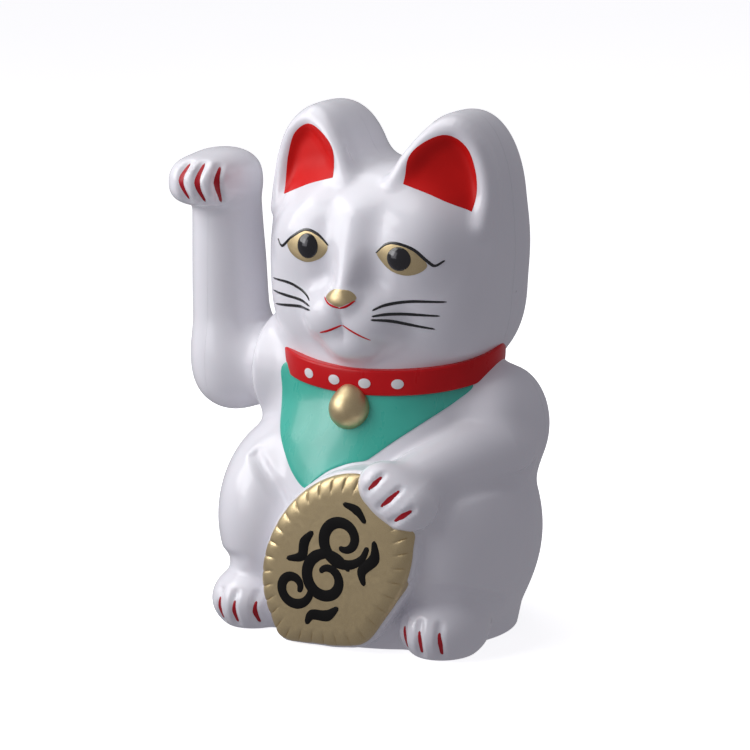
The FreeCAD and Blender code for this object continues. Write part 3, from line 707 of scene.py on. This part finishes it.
# ---------------------------------------------------------------- materials
class Finish:
    """A node material that starts as a Principled shader, with short calls for its textures."""

    def __init__(self, name, **sockets):
        self.material = bpy.data.materials.new(name)
        self.material.use_nodes = True
        self.tree = self.material.node_tree
        self.shader = next(n for n in self.tree.nodes if n.type == "BSDF_PRINCIPLED")
        for socket, value in sockets.items():
            self.shader.inputs[socket.replace("_", " ")].default_value = value
        self.place = self.tree.nodes.new("ShaderNodeTexCoord").outputs["Object"]

    def node(self, kind, links=None, **settings):
        node = self.tree.nodes.new("ShaderNode" + kind)
        for key, value in settings.items():
            if hasattr(node, key):
                setattr(node, key, value)
            else:
                node.inputs[key.replace("_", " ")].default_value = value
        for socket, source in (links or {}).items():
            self.tree.links.new(source, node.inputs[socket])
        return node

    def stretched(self, x, y, z):
        return self.node("Mapping", {"Vector": self.place}, Scale=(x, y, z)).outputs["Vector"]

    def noise(self, scale, detail=3.0, roughness=0.5, at=None):
        """Noise whose features repeat about every 1 / scale metres."""
        made = self.node("TexNoise", {"Vector": at or self.place}, Scale=scale, Detail=detail,
                         Roughness=roughness)
        return made.outputs["Fac"]

    def cells(self, scale, feature="F1", at=None):
        made = self.node("TexVoronoi", {"Vector": at or self.place}, feature=feature, Scale=scale)
        return made.outputs["Distance"]

    def spread(self, value, low, high, out_low=0.0, out_high=1.0):
        made = self.node("MapRange", {"Value": value})
        for i, number in enumerate((low, high, out_low, out_high)):
            made.inputs[i + 1].default_value = number
        return made.outputs["Result"]

    def mix(self, factor, first, second):
        made = self.node("Mix", {"Factor": factor}, data_type="RGBA", blend_type="MIX")
        for index, colour in ((6, first), (7, second)):
            if isinstance(colour, tuple):
                made.inputs[index].default_value = (*colour, 1)
            else:
                self.tree.links.new(colour, made.inputs[index])
        return made.outputs[2]

    def paint(self, colour):
        self.tree.links.new(colour, self.shader.inputs["Base Color"])

    def rough(self, value):
        self.tree.links.new(value, self.shader.inputs["Roughness"])

    def bump(self, height, depth, strength=1.0):
        """Relief of depth metres."""
        last = self.shader.inputs["Normal"].links
        links = {"Height": height}
        if last:
            links["Normal"] = last[0].from_socket
        made = self.node("Bump", links, Strength=strength, Distance=depth)
        self.tree.links.new(made.outputs["Normal"], self.shader.inputs["Normal"])


def white_plastic():
    """Glossy white moulding with a faint flow pattern and the soft ripple of a blow-moulded skin."""
    f = Finish("glossy_white_plastic", Roughness=0.2, IOR=1.48, Coat_Weight=0.2, Coat_Roughness=0.1,
               Subsurface_Weight=0.08, Subsurface_Radius=(0.004, 0.003, 0.003), Subsurface_Scale=0.6)
    flow = f.noise(28, 4, 0.6, f.stretched(1, 1, 0.45))
    f.paint(f.mix(f.spread(flow, 0.3, 0.7), (0.86, 0.85, 0.90), (0.90, 0.89, 0.93)))
    f.rough(f.spread(f.noise(160, 5, 0.6), 0.3, 0.7, 0.17, 0.25))
    f.bump(f.noise(120, 2, 0.4), 0.00006, 0.5)
    f.bump(f.noise(1800, 2, 0.5), 0.000006, 0.5)
    return f.material


def gold_paint():
    """Satin gold paint with fine flakes, darker where it pools."""
    f = Finish("satin_gold_paint", Metallic=0.86, Roughness=0.4, Coat_Weight=0.15, Coat_Roughness=0.25)
    flakes = f.cells(5200)
    clouds = f.noise(150, 4, 0.6)
    base = f.mix(f.spread(clouds, 0.3, 0.7), (0.50, 0.37, 0.18), (0.60, 0.46, 0.24))
    f.paint(f.mix(f.spread(flakes, 0.1, 0.6, 0.0, 0.5), (0.70, 0.57, 0.33), base))
    f.rough(f.spread(f.noise(900, 3), 0.3, 0.7, 0.34, 0.48))
    f.bump(flakes, 0.00002, 0.6)
    f.bump(f.noise(220, 3), 0.00008, 0.5)
    return f.material


def gloss_paint(name, light, dark, roughness=0.22, coat=0.5, shine=0.5):
    """Brushed-on gloss enamel: thin and thick places, faint brush marks and a few dust specks."""
    f = Finish(name, Roughness=roughness, Coat_Weight=coat, Coat_Roughness=0.08, Specular_IOR_Level=shine)
    thick = f.noise(60, 3, 0.5)
    marks = f.noise(260, 3, 0.5, f.stretched(1, 1, 0.25))
    f.paint(f.mix(f.spread(thick, 0.32, 0.68), dark, light))
    f.rough(f.spread(marks, 0.3, 0.7, roughness - 0.03, roughness + 0.05))
    f.bump(marks, 0.000006, 0.4)
    f.bump(f.noise(1500, 2), 0.000008, 0.5)
    return f.material


def moulded(name, light, dark, roughness=0.42, grain=2400):
    """Plain moulded plastic with a spark-eroded grain."""
    f = Finish(name, Roughness=roughness)
    f.paint(f.mix(f.spread(f.noise(90, 4, 0.6), 0.3, 0.7), dark, light))
    f.rough(f.spread(f.noise(700, 4), 0.3, 0.7, roughness - 0.06, roughness + 0.1))
    f.bump(f.noise(grain, 3, 0.6), 0.00003, 0.6)
    return f.material


def metal(name, light, dark, roughness=0.3, stretch=(1, 1, 0.05)):
    """Drawn or rolled metal, with marks along one direction and a little tarnish."""
    f = Finish(name, Metallic=1.0, Roughness=roughness)
    marks = f.noise(900, 4, 0.6, f.stretched(*stretch))
    tarnish = f.noise(240, 5, 0.7)
    f.paint(f.mix(f.spread(tarnish, 0.35, 0.75), light, dark))
    f.rough(f.spread(marks, 0.3, 0.7, roughness - 0.08, roughness + 0.14))
    f.bump(marks, 0.00001, 0.5)
    return f.material


def wound_copper():
    """Turns of enamelled copper wire."""
    f = Finish("wound_copper", Metallic=0.9, Roughness=0.3, Coat_Weight=0.6, Coat_Roughness=0.12)
    turns = f.node("TexWave", {"Vector": f.place}, wave_type="BANDS", bands_direction="Z", Scale=900.0,
                   Distortion=1.5, Detail=2.0).outputs["Fac"]
    f.paint(f.mix(turns, (0.20, 0.06, 0.02), (0.72, 0.30, 0.11)))
    f.rough(f.spread(f.noise(900), 0.3, 0.7, 0.25, 0.38))
    f.bump(turns, 0.0001, 0.8)
    return f.material


def laminate():
    """Brown paper laminate with copper tracks."""
    f = Finish("board_laminate", Roughness=0.4, Coat_Weight=0.2, Coat_Roughness=0.2)
    tracks = f.cells(330, "DISTANCE_TO_EDGE", f.stretched(1, 1, 0.01))
    fibre = f.noise(1400, 4, 0.6, f.stretched(1, 0.3, 1))
    board = f.mix(f.spread(fibre, 0.3, 0.7), (0.42, 0.27, 0.11), (0.55, 0.38, 0.18))
    f.paint(f.mix(f.spread(tracks, 0.0, 0.06), (0.66, 0.30, 0.14), board))
    f.rough(f.spread(fibre, 0.3, 0.7, 0.34, 0.5))
    f.bump(tracks, 0.00003, 0.6)
    return f.material


def cell_jacket():
    """A dry cell: a plain dark wrap with bright metal ends."""
    f = Finish("cell_jacket", Metallic=0.55, Roughness=0.3, Coat_Weight=0.5, Coat_Roughness=0.1)
    low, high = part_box("dry_cell")
    along = f.node("SeparateXYZ", {"Vector": f.place}).outputs["X"]
    bright, dark, worn = (0.74, 0.74, 0.72), (0.12, 0.12, 0.13), (0.2, 0.2, 0.2)
    near = f.mix(f.spread(along, low.x + 0.0012, low.x + 0.0014), bright, dark)
    wrap = f.mix(f.spread(along, high.x - 0.0022, high.x - 0.0020), near, bright)
    f.paint(f.mix(f.spread(f.noise(300, 4), 0.3, 0.8, 0.0, 0.2), wrap, worn))
    f.rough(f.spread(f.noise(700, 4), 0.3, 0.7, 0.22, 0.38))
    f.bump(f.noise(500, 2), 0.00002, 0.4)
    return f.material


def floor_paper():
    """Matt white studio paper with a faint tooth."""
    f = Finish("white_floor_paper", Roughness=0.75, Emission_Color=(1, 1, 1, 1), Emission_Strength=0.72)
    f.paint(f.mix(f.spread(f.noise(3, 3), 0.3, 0.7), (0.93, 0.93, 0.94), (0.96, 0.96, 0.965)))
    f.rough(f.spread(f.noise(60, 4), 0.3, 0.7, 0.68, 0.82))
    f.bump(f.noise(900, 4, 0.6), 0.00004, 0.3)
    return f.material


WHITE = white_plastic()
GOLD = gold_paint()
RED = gloss_paint("red_enamel", (0.70, 0.008, 0.012), (0.58, 0.006, 0.009), 0.3, 0.08, 0.2)
EAR_RED = gloss_paint("ear_red_enamel", (0.76, 0.012, 0.010), (0.66, 0.009, 0.008), 0.4, 0.0, 0.15)
TEAL = gloss_paint("teal_enamel", (0.065, 0.54, 0.42), (0.045, 0.46, 0.35), 0.28, 0.3)
BLACK = gloss_paint("black_enamel", (0.010, 0.010, 0.012), (0.005, 0.005, 0.006), 0.12, 0.5)
INK = gloss_paint("black_coin_paint", (0.009, 0.008, 0.007), (0.004, 0.004, 0.004), 0.5, 0.0, 0.15)
CLAW = gloss_paint("crimson_enamel", (0.50, 0.008, 0.02), (0.38, 0.006, 0.014), 0.35, 0.1, 0.25)
DOT = gloss_paint("white_enamel", (0.86, 0.85, 0.86), (0.80, 0.79, 0.81), 0.25, 0.4)

# A light and a dark colour of each stock material.
BASE_WHITE = (0.80, 0.79, 0.82), (0.74, 0.73, 0.77)
FRAME_GREEN = (0.22, 0.42, 0.30), (0.17, 0.35, 0.24)
ZINC = (0.66, 0.67, 0.68), (0.50, 0.50, 0.50)
BRASS = (0.80, 0.58, 0.25), (0.58, 0.40, 0.16)
NICKEL = (0.76, 0.75, 0.70), (0.60, 0.59, 0.54)
LENGTHWISE = (0.05, 1, 1)

NODE_FINISHES = {
    "base_plate": moulded("base_plastic", *BASE_WHITE),
    "battery_door": moulded("door_plastic", *BASE_WHITE),
    "mechanism_frame": moulded("frame_plastic", *FRAME_GREEN, 0.38),
    "coil_bobbin": moulded("bobbin_plastic", (0.75, 0.72, 0.62), (0.66, 0.63, 0.54), 0.35),
    "coil_winding": wound_copper(),
    "circuit_board": laminate(),
    "drive_chip": moulded("chip_epoxy", (0.03, 0.03, 0.032), (0.02, 0.02, 0.022), 0.5, 5200),
    "capacitor": gloss_paint("capacitor_sleeve", (0.03, 0.05, 0.16), (0.02, 0.035, 0.12), 0.3, 0.3),
    "resistors": moulded("resistor_body", (0.05, 0.05, 0.055), (0.03, 0.03, 0.035), 0.4, 5200),
    "red_lead": gloss_paint("red_insulation", (0.55, 0.02, 0.02), (0.45, 0.015, 0.015), 0.4, 0.1),
    "black_lead": gloss_paint("black_insulation", (0.03, 0.03, 0.03), (0.02, 0.02, 0.02), 0.4, 0.1),
    "dry_cell": cell_jacket(),
    "base_screws": metal("zinc_screw_steel", *ZINC, 0.32),
    "frame_screws": metal("zinc_steel", *ZINC, 0.32),
    "counterweight": metal("weight_steel", (0.55, 0.56, 0.57), (0.36, 0.35, 0.34), 0.38, LENGTHWISE),
    "retaining_clips": metal("clip_steel", (0.50, 0.50, 0.51), (0.38, 0.38, 0.38), 0.34),
    "arm_axle": metal("axle_steel", (0.72, 0.73, 0.74), (0.58, 0.58, 0.58), 0.18, LENGTHWISE),
    "outboard_bush": metal("bush_brass", *BRASS, 0.28, LENGTHWISE),
    "inboard_bush": metal("inner_bush_brass", *BRASS, 0.28, LENGTHWISE),
    "positive_contact": metal("contact_steel", *NICKEL, 0.24),
    "negative_contact": metal("negative_contact_steel", *NICKEL, 0.24),
    "battery_spring": metal("spring_steel", *NICKEL, 0.24),
    "pendulum_lever": moulded("lever_plastic", *FRAME_GREEN, 0.38),
    "pendulum_magnet": metal("magnet_nickel", (0.72, 0.70, 0.66), (0.60, 0.58, 0.54), 0.2),
}
for node, material in NODE_FINISHES.items():
    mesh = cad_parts[node].data
    mesh.materials.clear()
    mesh.materials.append(material)

# ---------------------------------------------------------------- mouldings
CELL = 0.9
SEAM = 0.05
FRONT = (0, 1, 0)

front, rear = halves(("front_shell_skin", "rear_shell_skin"), body_shell, (-54, -50, -6),
                     (60, 52, 164), CELL, 1, SPLIT_Y, SEAM, WHITE, floor=True)
outer, inner = halves(("arm_outer_skin", "arm_inner_skin"), arm_shell, (-74, -30, 56),
                      (-38, 18, 147), CELL, 0, ARM_SPLIT_X, SEAM, WHITE)

# ---------------------------------------------------------------- collar, bell and coin
COLLAR = {"centre": (0.0, 0.8, 84.4), "side": 36.0, "front": 27.0, "back": 31.2, "tilt": math.radians(10),
          "tall": 7.8}


def collar_point(turn, out, up):
    """A place on the collar: turn starts at the front, out at the band's face, and up at its middle."""
    cx, cy, cz = COLLAR["centre"]
    deep = COLLAR["front"] if math.cos(turn) > 0 else COLLAR["back"]
    x = cx + (COLLAR["side"] + out) * math.sin(turn)
    y = cy - (deep + out) * math.cos(turn)
    return x, y, cz + (y - cy) * math.tan(COLLAR["tilt"]) + up


def collar(turns=192):
    """A band with rolled edges that stands a little proud of the neck."""
    half, edge, sunk = COLLAR["tall"] / 2, 0.7, -3.0
    section = [(sunk, -half), (-edge, -half)]
    for k in range(5):
        a = math.radians(-90 + 22.5 * k)
        section.append((-edge + edge * math.cos(a), -half + edge + edge * math.sin(a)))
    for k in range(1, 4):
        section.append((0.12 * math.sin(math.pi * k / 4), (k / 2 - 1) * (half - edge)))
    for k in range(5):
        a = math.radians(22.5 * k)
        section.append((-edge + edge * math.cos(a), half - edge + edge * math.sin(a)))
    section += [(-edge, half), (sunk, half)]
    verts = [collar_point(2 * math.pi * i / turns, *s) for i in range(turns) for s in section]
    n = len(section)
    faces = []
    for i in range(turns):
        j = (i + 1) % turns
        for k in range(n):
            m = (k + 1) % n
            faces.append((i * n + k, j * n + k, j * n + m, i * n + m))
    return oriented("collar", verts, faces, RED)


def collar_dot(index, turn, radius=1.5):
    """A dome of white paint on the collar's face."""
    rings, spokes = 4, 20
    verts = [collar_point(turn, 0.42, 0)]
    for r in range(1, rings + 1):
        out = 0.12 + 0.3 * math.cos(math.pi / 2 * r / rings) if r < rings else -0.2
        reach = radius * r / (rings - 1) if r < rings else radius
        for s in range(spokes):
            a = 2 * math.pi * s / spokes
            shift = reach * math.cos(a) / COLLAR["front"]
            verts.append(collar_point(turn + shift, out, reach * math.sin(a)))
    faces = [(0, 1 + s, 1 + (s + 1) % spokes) for s in range(spokes)]
    for r in range(rings - 1):
        for s in range(spokes):
            a, b = 1 + r * spokes + s, 1 + r * spokes + (s + 1) % spokes
            faces.append((a, a + spokes, b + spokes, b))
    faces.append(tuple(range(len(verts) - spokes, len(verts))))
    return oriented(f"collar_dot_{index}", verts, faces, DOT)


BELL_CENTRE = (0.4, -26.0, 71.2)


def bell_field(p):
    """A round bell with a short shoulder under the collar."""
    d = ellipsoid(p, BELL_CENTRE, (6.6, 6.3, 6.5))
    neck = limb(p, BELL_CENTRE, (BELL_CENTRE[0], BELL_CENTRE[1] + 1.5, BELL_CENTRE[2] + 4.2), 4.4, 3.6)
    return join(d, neck, 3)


def bell():
    low = [c - 8 for c in BELL_CENTRE]
    high = [c + 11 for c in BELL_CENTRE]
    verts, quads = surface_net(bell_field, low, high, 0.7)
    verts = settle(bell_field, verts, 0.35)
    mesh = new_mesh("bell", verts, quads)
    shade(mesh, bell_field)
    return shown("bell", mesh, GOLD)


# The coin's face: where its rim starts, how far it rolls back, how far it pillows, and the pinched flutes.
COIN_RIM = 0.80
COIN_ROLL = 2.6
COIN_PILLOW = 0.5
COIN_DEPTH = 8.0
FLUTES = 34
FLUTE_DEPTH = 0.55


def coin_fall(reach):
    """How far the coin's face falls back, at a share of the way out to its edge."""
    rim = np.clip((reach - COIN_RIM) / (1 - COIN_RIM), 0, 1)
    return COIN_ROLL * (1 - np.sqrt(np.maximum(0, 1 - rim**2.4))) + COIN_PILLOW * reach**2


def coin_place(along, across):
    """The x and z of a place on the coin, from distances along and across its long axis."""
    c, s = math.cos(COIN_LEAN), math.sin(COIN_LEAN)
    return COIN_CENTRE[0] + along * s + across * c, COIN_CENTRE[1] + along * c - across * s


def coin():
    """The oval coin: a gently pillowed face whose rim is pinched into flutes, cut flat where it stands."""
    rings, spokes = 44, 408
    verts, faces = [], []
    for r in range(rings + 1):
        t = r / rings
        rim = max(0.0, (t - COIN_RIM) / (1 - COIN_RIM))
        for k in range(spokes):
            a = 2 * math.pi * k / spokes
            lobe = abs(math.cos(a * FLUTES / 2)) ** 0.35
            pinch = (1 - lobe) * min(1.0, rim * 2.2)
            reach = coin_swell(a) * t
            x, z = coin_place(COIN_A * reach * math.cos(a), COIN_B * reach * math.sin(a))
            verts.append((x, COIN_FRONT + 0.1 + coin_fall(t) + FLUTE_DEPTH * pinch, z))
    for r in range(rings):
        for k in range(spokes):
            m = (k + 1) % spokes
            a, b = r * spokes + k, r * spokes + m
            faces.append((a, b, b + spokes, a + spokes))
    edge, back = rings * spokes, len(verts)
    for k in range(spokes):
        m = (k + 1) % spokes
        x, _, z = verts[edge + k]
        verts.append((x, COIN_FRONT + COIN_DEPTH, z))
        faces.append((edge + k, edge + m, back + m, back + k))
    faces.append(tuple(back + k for k in range(spokes)))
    bm = bmesh.new()
    bm.from_mesh(new_mesh("coin", verts, faces))
    bmesh.ops.remove_doubles(bm, verts=bm.verts[:], dist=1e-6)
    trimmed(bm, (0, 0, 0), (0, 0, -1))
    mesh = turned_out("coin", bm)
    smooth_up_to(mesh, 40)
    return shown("coin", mesh, GOLD)


def coin_face(p):
    """The coin's face as a field, for the paint on it."""
    along, across = coin_axes(p)
    reach = np.sqrt((along / COIN_A) ** 2 + (across / COIN_B) ** 2) / coin_swell(coin_turn(along, across))
    return COIN_FRONT + 0.1 + coin_fall(reach) - p[..., 1]


def on_coin(points):
    """Points along and across the coin's long axis, as places in the figurine's frame."""
    places = [coin_place(*point) for point in points]
    return [(x, COIN_FRONT, z) for x, z in places]


def curl(middle, radius, start, sweep, inner=0.3, steps=16):
    """Points along and across the coin on a spiral that winds in towards its middle."""
    out = []
    for k in range(steps + 1):
        r = radius * (1 - (1 - inner) * k / steps)
        a = math.radians(start + sweep * k / steps)
        out.append((middle[0] + r * math.cos(a), middle[1] + r * math.sin(a)))
    return out


# A generic cloud scroll: three curls that wind alternately left and right, with short wisps between them.
COIN_STROKES = [
    (curl((8.6, -1.8), 8.6, 60, 470), (1.6, 3.6, 3.8, 3.4, 2.8, 1.6)),
    (curl((-5.0, 1.4), 8.6, 30, -480), (1.6, 3.6, 3.8, 3.4, 2.8, 1.6)),
    (curl((-15.4, -5.0), 6.4, 20, 430), (1.6, 3.2, 3.2, 2.8, 1.6)),
    ([(16.0, 6.0), (11.6, 9.4), (5.6, 8.8), (2.4, 12.0)], (1.4, 3.6, 3.2, 1.4)),
    ([(3.4, -10.8), (-1.4, -10.8), (-5.6, -9.0), (-10.0, -12.2)], (1.4, 3.4, 3.2, 1.4)),
    ([(-9.4, 9.8), (-14.2, 8.6), (-17.8, 4.8), (-21.6, 5.0)], (1.4, 3.6, 3.2, 1.4)),
    ([(17.6, -8.6), (19.2, -4.0), (18.2, 0.6)], (1.4, 3.0, 1.4)),
]

painted = {slot: [] for slot in ("red_paint", "gold_paint", "black_paint", "white_paint", "teal_paint",
                                 "claw_paint")}

painted["red_paint"].append(collar())
for index, degrees in enumerate((-25.2, -8.4, 8.4, 25.2)):
    painted["white_paint"].append(collar_dot(index, math.radians(degrees)))
painted["gold_paint"] += [bell(), coin()]
for index, (line, widths) in enumerate(COIN_STROKES):
    painted["black_paint"].append(stroke(f"coin_scroll_{index}", on_coin(line), widths, coin_face, FRONT, INK,
                                         lift=0.16, sink=0.3))


# ---------------------------------------------------------------- painted face and body
def at(y, pairs):
    """Places in front of the figurine from pairs of x and z."""
    return [(x, y, z) for x, z in pairs]


def closed_line(pairs, steps=6):
    return smooth([(x, 0, z) for x, z in pairs], steps, closed=True)


# Outlines and lines of the paint, as x and z.
BIB = [(-28.5, 80), (-28.4, 73), (-28, 66.9), (-25.4, 60.7), (-20.8, 55), (-16.3, 50.5), (-10.5, 47.1),
       (-6.8, 50.1), (-2, 53.6), (4.1, 56.2), (8.7, 57.3), (11.2, 59.0), (16.3, 63.3), (23, 68.6), (30, 74.5),
       (33, 79), (24, 82), (0, 82), (-20, 82)]
painted["teal_paint"].append(patch("bib", closed_line(BIB), body, FRONT, TEAL, 0.35, (0, 0, 66), 26))

EAR_SIDE = [(12.1, 139.3), (13.0, 147.2), (17.6, 152.0), (23.8, 154.2), (29.6, 150.8), (32.3, 144),
            (33.0, 137.5), (32.5, 131.8)]
EAR_FOOT = [(32.5, 131.8), (26, 134.5), (20, 136.9), (12.1, 139.3)]
EYES = {
    "right": [(-22.7, 119.5), (-19.9, 122.7), (-15.6, 124.5), (-11.3, 123.6), (-7.9, 120.2), (-10.2, 116.6),
              (-15, 114.8), (-20, 116.2)],
    "left": [(8.8, 119.8), (11.5, 122.4), (15.3, 123.3), (20.5, 121.6), (24.8, 117.4), (22.3, 114.6),
             (17.7, 113.8), (12.4, 115.6)],
}
PUPILS = {"right": ((-14.85, 119.8), (3.55, 3.8)), "left": ((16.4, 118.65), (3.9, 3.6))}
LIDS = {
    "right": [(-27.8, 120.2), (-25.2, 118.5), (-20.9, 121.8), (-16.1, 124.5), (-11.8, 123.6), (-7.6, 120.5)],
    "left": [(8.6, 119.8), (11.9, 122.6), (15.5, 123.2), (20.8, 121.8), (24.5, 118.7), (26.7, 117.0),
             (29.1, 118.5)],
}
for side, sign in (("right", -1), ("left", 1)):
    ear_line = np.vstack((smooth(at(0, EAR_SIDE), 5)[:-1], smooth(at(0, EAR_FOOT), 5)[:-1])) * vec(sign, 1, 1)
    painted["red_paint"].append(patch(f"{side}_ear_paint", ear_line, body, FRONT, EAR_RED, 0.12,
                                      (sign * 23.6, 0, 144), 14))
    painted["gold_paint"].append(patch(f"{side}_eye_paint", closed_line(EYES[side]), body, FRONT, GOLD, 0.1))
    (px, pz), (pa, pb) = PUPILS[side]
    turns = np.linspace(0, math.tau, 48, endpoint=False)
    round_line = [(px + pa * math.cos(a), 0, pz + pb * math.sin(a)) for a in turns]
    painted["black_paint"].append(patch(f"{side}_pupil", round_line, body, FRONT, BLACK, 0.24, bulge=0.9))
    painted["black_paint"].append(stroke(f"{side}_lid", at(0, LIDS[side]), (0.5, 0.87, 0.9, 0.9, 0.87, 0.5),
                                         body, FRONT, BLACK, 0.2))

NOSE = [(-5.6, 106.1), (-3, 108.4), (0, 109), (3, 108.6), (5, 106.4), (2.6, 104.9), (0.2, 103.9), (-3, 104.8)]
painted["gold_paint"].append(patch("nose_paint", closed_line(NOSE), body, FRONT, GOLD, 0.1))
LINES = {
    "nose_line_right": ([(-6.4, 105.7), (-3.2, 104.2), (0.4, 103.4)], 0.7),
    "nose_line_left": ([(0.4, 103.4), (2.8, 104.3), (4.9, 105.9)], 0.7),
    "mouth_right": ([(-8.0, 94.6), (-4.2, 95.9), (-0.2, 97.8)], 0.65),
    "mouth_left": ([(-0.2, 97.8), (4, 96.2), (9, 93.9)], 0.65),
    "whisker_right_0": ([(-32, 106.9), (-23.6, 107.2), (-18.2, 105.9), (-12.9, 103.5)], 0.9),
    "whisker_right_1": ([(-32.2, 103), (-22, 102.9), (-12, 102.1)], 0.9),
    "whisker_right_2": ([(-31.2, 98.9), (-21, 100.3), (-11.5, 101.1)], 0.9),
    "whisker_left_0": ([(9.9, 103.2), (13.2, 104.7), (20.3, 105.8), (29.4, 105.8)], 0.9),
    "whisker_left_1": ([(10.1, 101.5), (13.9, 102), (20.2, 101.8), (27.6, 101.5)], 0.9),
    "whisker_left_2": ([(9.9, 100.5), (14.3, 100.1), (19.4, 98.6), (26.1, 97.4)], 0.9),
}
for name, (pairs, width) in LINES.items():
    slot, colour = ("black_paint", BLACK) if name.startswith("whisker") else ("red_paint", RED)
    widths = (0.6 * width, width, width, 0.6 * width)
    painted[slot].append(stroke(name, at(0, pairs), widths, body, FRONT, colour, 0.14))

for side, sign in (("right", -1), ("left", 1)):
    for index, x in enumerate(TOES):
        line = at(-10, [(sign * x, 9.8), (sign * (x + 0.3), 6.4), (sign * x, 2.6)])
        painted["claw_paint"].append(stroke(f"{side}_foot_claw_{index}", line, (0.7, 1.4, 0.9), body, FRONT,
                                            CLAW, 0.16))
for index, line in enumerate((
    [(21.7, 57.0), (20.2, 55.1), (18.2, 53.0)],
    [(27.8, 53.6), (25.4, 51.0), (22.4, 48.4)],
    [(32.5, 48.4), (30.1, 46.7), (26.8, 44.5)],
)):
    painted["claw_paint"].append(stroke(f"hand_claw_{index}", at(0, line), (0.8, 1.6, 0.8), body, FRONT, CLAW,
                                        0.16))
raised_claws = [
    stroke(f"raised_claw_{index}", line, (0.8, 1.9, 0.8), arm, heading, CLAW, 0.16)
    for index, (line, heading) in enumerate((
        ([(-59.9, -20.8, 140.4), (-60.7, -24.1, 135.7), (-58.9, -22.9, 129.9)], FRONT),
        ([(-55.0, -19.9, 140.7), (-54.9, -23.9, 135.4), (-53.8, -21.4, 129.3)], (-0.2, 1, 0)),
        ([(-50.3, -17.5, 139.7), (-49.8, -20.3, 135.3), (-50.5, -16.7, 128.6)], (-0.6, 1, 0)),
    ))
]

# ---------------------------------------------------------------- bodies and replaced nodes
for slot, pieces in painted.items():
    for piece in pieces:
        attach(piece, "figure")
for piece in raised_claws:
    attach(piece, "swing_arm")
for piece in (front, rear):
    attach(piece, "figure")
for piece in (inner, outer):
    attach(piece, "swing_arm")
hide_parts("front_shell")
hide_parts("rear_shell")
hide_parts("arm_inner_half")
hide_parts("arm_outer_half")


# ---------------------------------------------------------------- studio
def studio(radius=4.0, bend=1.5, high=3.5, turns=72):
    """White paper that lies flat round the figurine and sweeps up far behind it on every side."""
    section = [(0.0, 0.0), (0.4, 0.0), (1.2, 0.0), (radius - bend, 0.0)]
    for k in range(1, 9):
        a = math.radians(90 * k / 8)
        section.append((radius - bend + bend * math.sin(a), bend - bend * math.cos(a)))
    section.append((radius, high))
    verts = [(0, 0, 0)]
    for r, z in section[1:]:
        ring = np.linspace(0, math.tau, turns, endpoint=False)
        verts += [(r * math.cos(a), r * math.sin(a), z) for a in ring]
    faces = [(0, 1 + i, 1 + (i + 1) % turns) for i in range(turns)]
    for k in range(len(section) - 2):
        for i in range(turns):
            a, b = 1 + k * turns + i, 1 + k * turns + (i + 1) % turns
            faces.append((a, a + turns, b + turns, b))
    mesh = new_mesh("studio_paper", np.array(verts) / MM, faces)
    mesh.polygons.foreach_set("use_smooth", np.ones(len(mesh.polygons), bool))
    paper = shown("studio_paper", mesh, floor_paper())
    paper.visible_diffuse = False
    paper.visible_glossy = False
    paper.visible_shadow = False
    return paper


studio()

scene = bpy.context.scene
scene.view_settings.view_transform = "Standard"
world = bpy.data.worlds.new("studio_world")
scene.world = world
world.use_nodes = True
sky = next(n for n in world.node_tree.nodes if n.type == "BACKGROUND")
sky.inputs["Color"].default_value = (0.93, 0.91, 1.0, 1)
sky.inputs["Strength"].default_value = 0.27

AIM = Vector((-0.0042, -0.00235, 0.0764))


def softbox(name, toward, distance, side, watts, colour=(1, 1, 1)):
    lamp = bpy.data.lights.new(name, "AREA")
    lamp.shape = "SQUARE"
    lamp.size = side
    lamp.energy = watts
    lamp.color = colour
    box = bpy.data.objects.new(name, lamp)
    scene.collection.objects.link(box)
    toward = Vector(toward).normalized()
    box.location = AIM + toward * distance
    box.rotation_euler = toward.to_track_quat("Z", "Y").to_euler()


softbox("key", (-0.80, -0.50, 0.58), 0.62, 0.46, 2.2)
softbox("top", (-0.40, 0.05, 0.9), 0.8, 0.7, 2.4)
softbox("front", (-0.60, -0.78, 0.26), 0.66, 0.36, 0.62, (0.95, 0.94, 1.0))

lens = bpy.data.cameras.new("camera")
lens.lens = 155.3
lens.sensor_width = 36
camera = bpy.data.objects.new("camera", lens)
scene.collection.objects.link(camera)
SIGHT = Vector((0.4724, -0.8522, 0.225)).normalized()
camera.location = AIM + SIGHT * 1.0
camera.rotation_euler = (-SIGHT).to_track_quat("-Z", "Y").to_euler()
scene.camera = camera
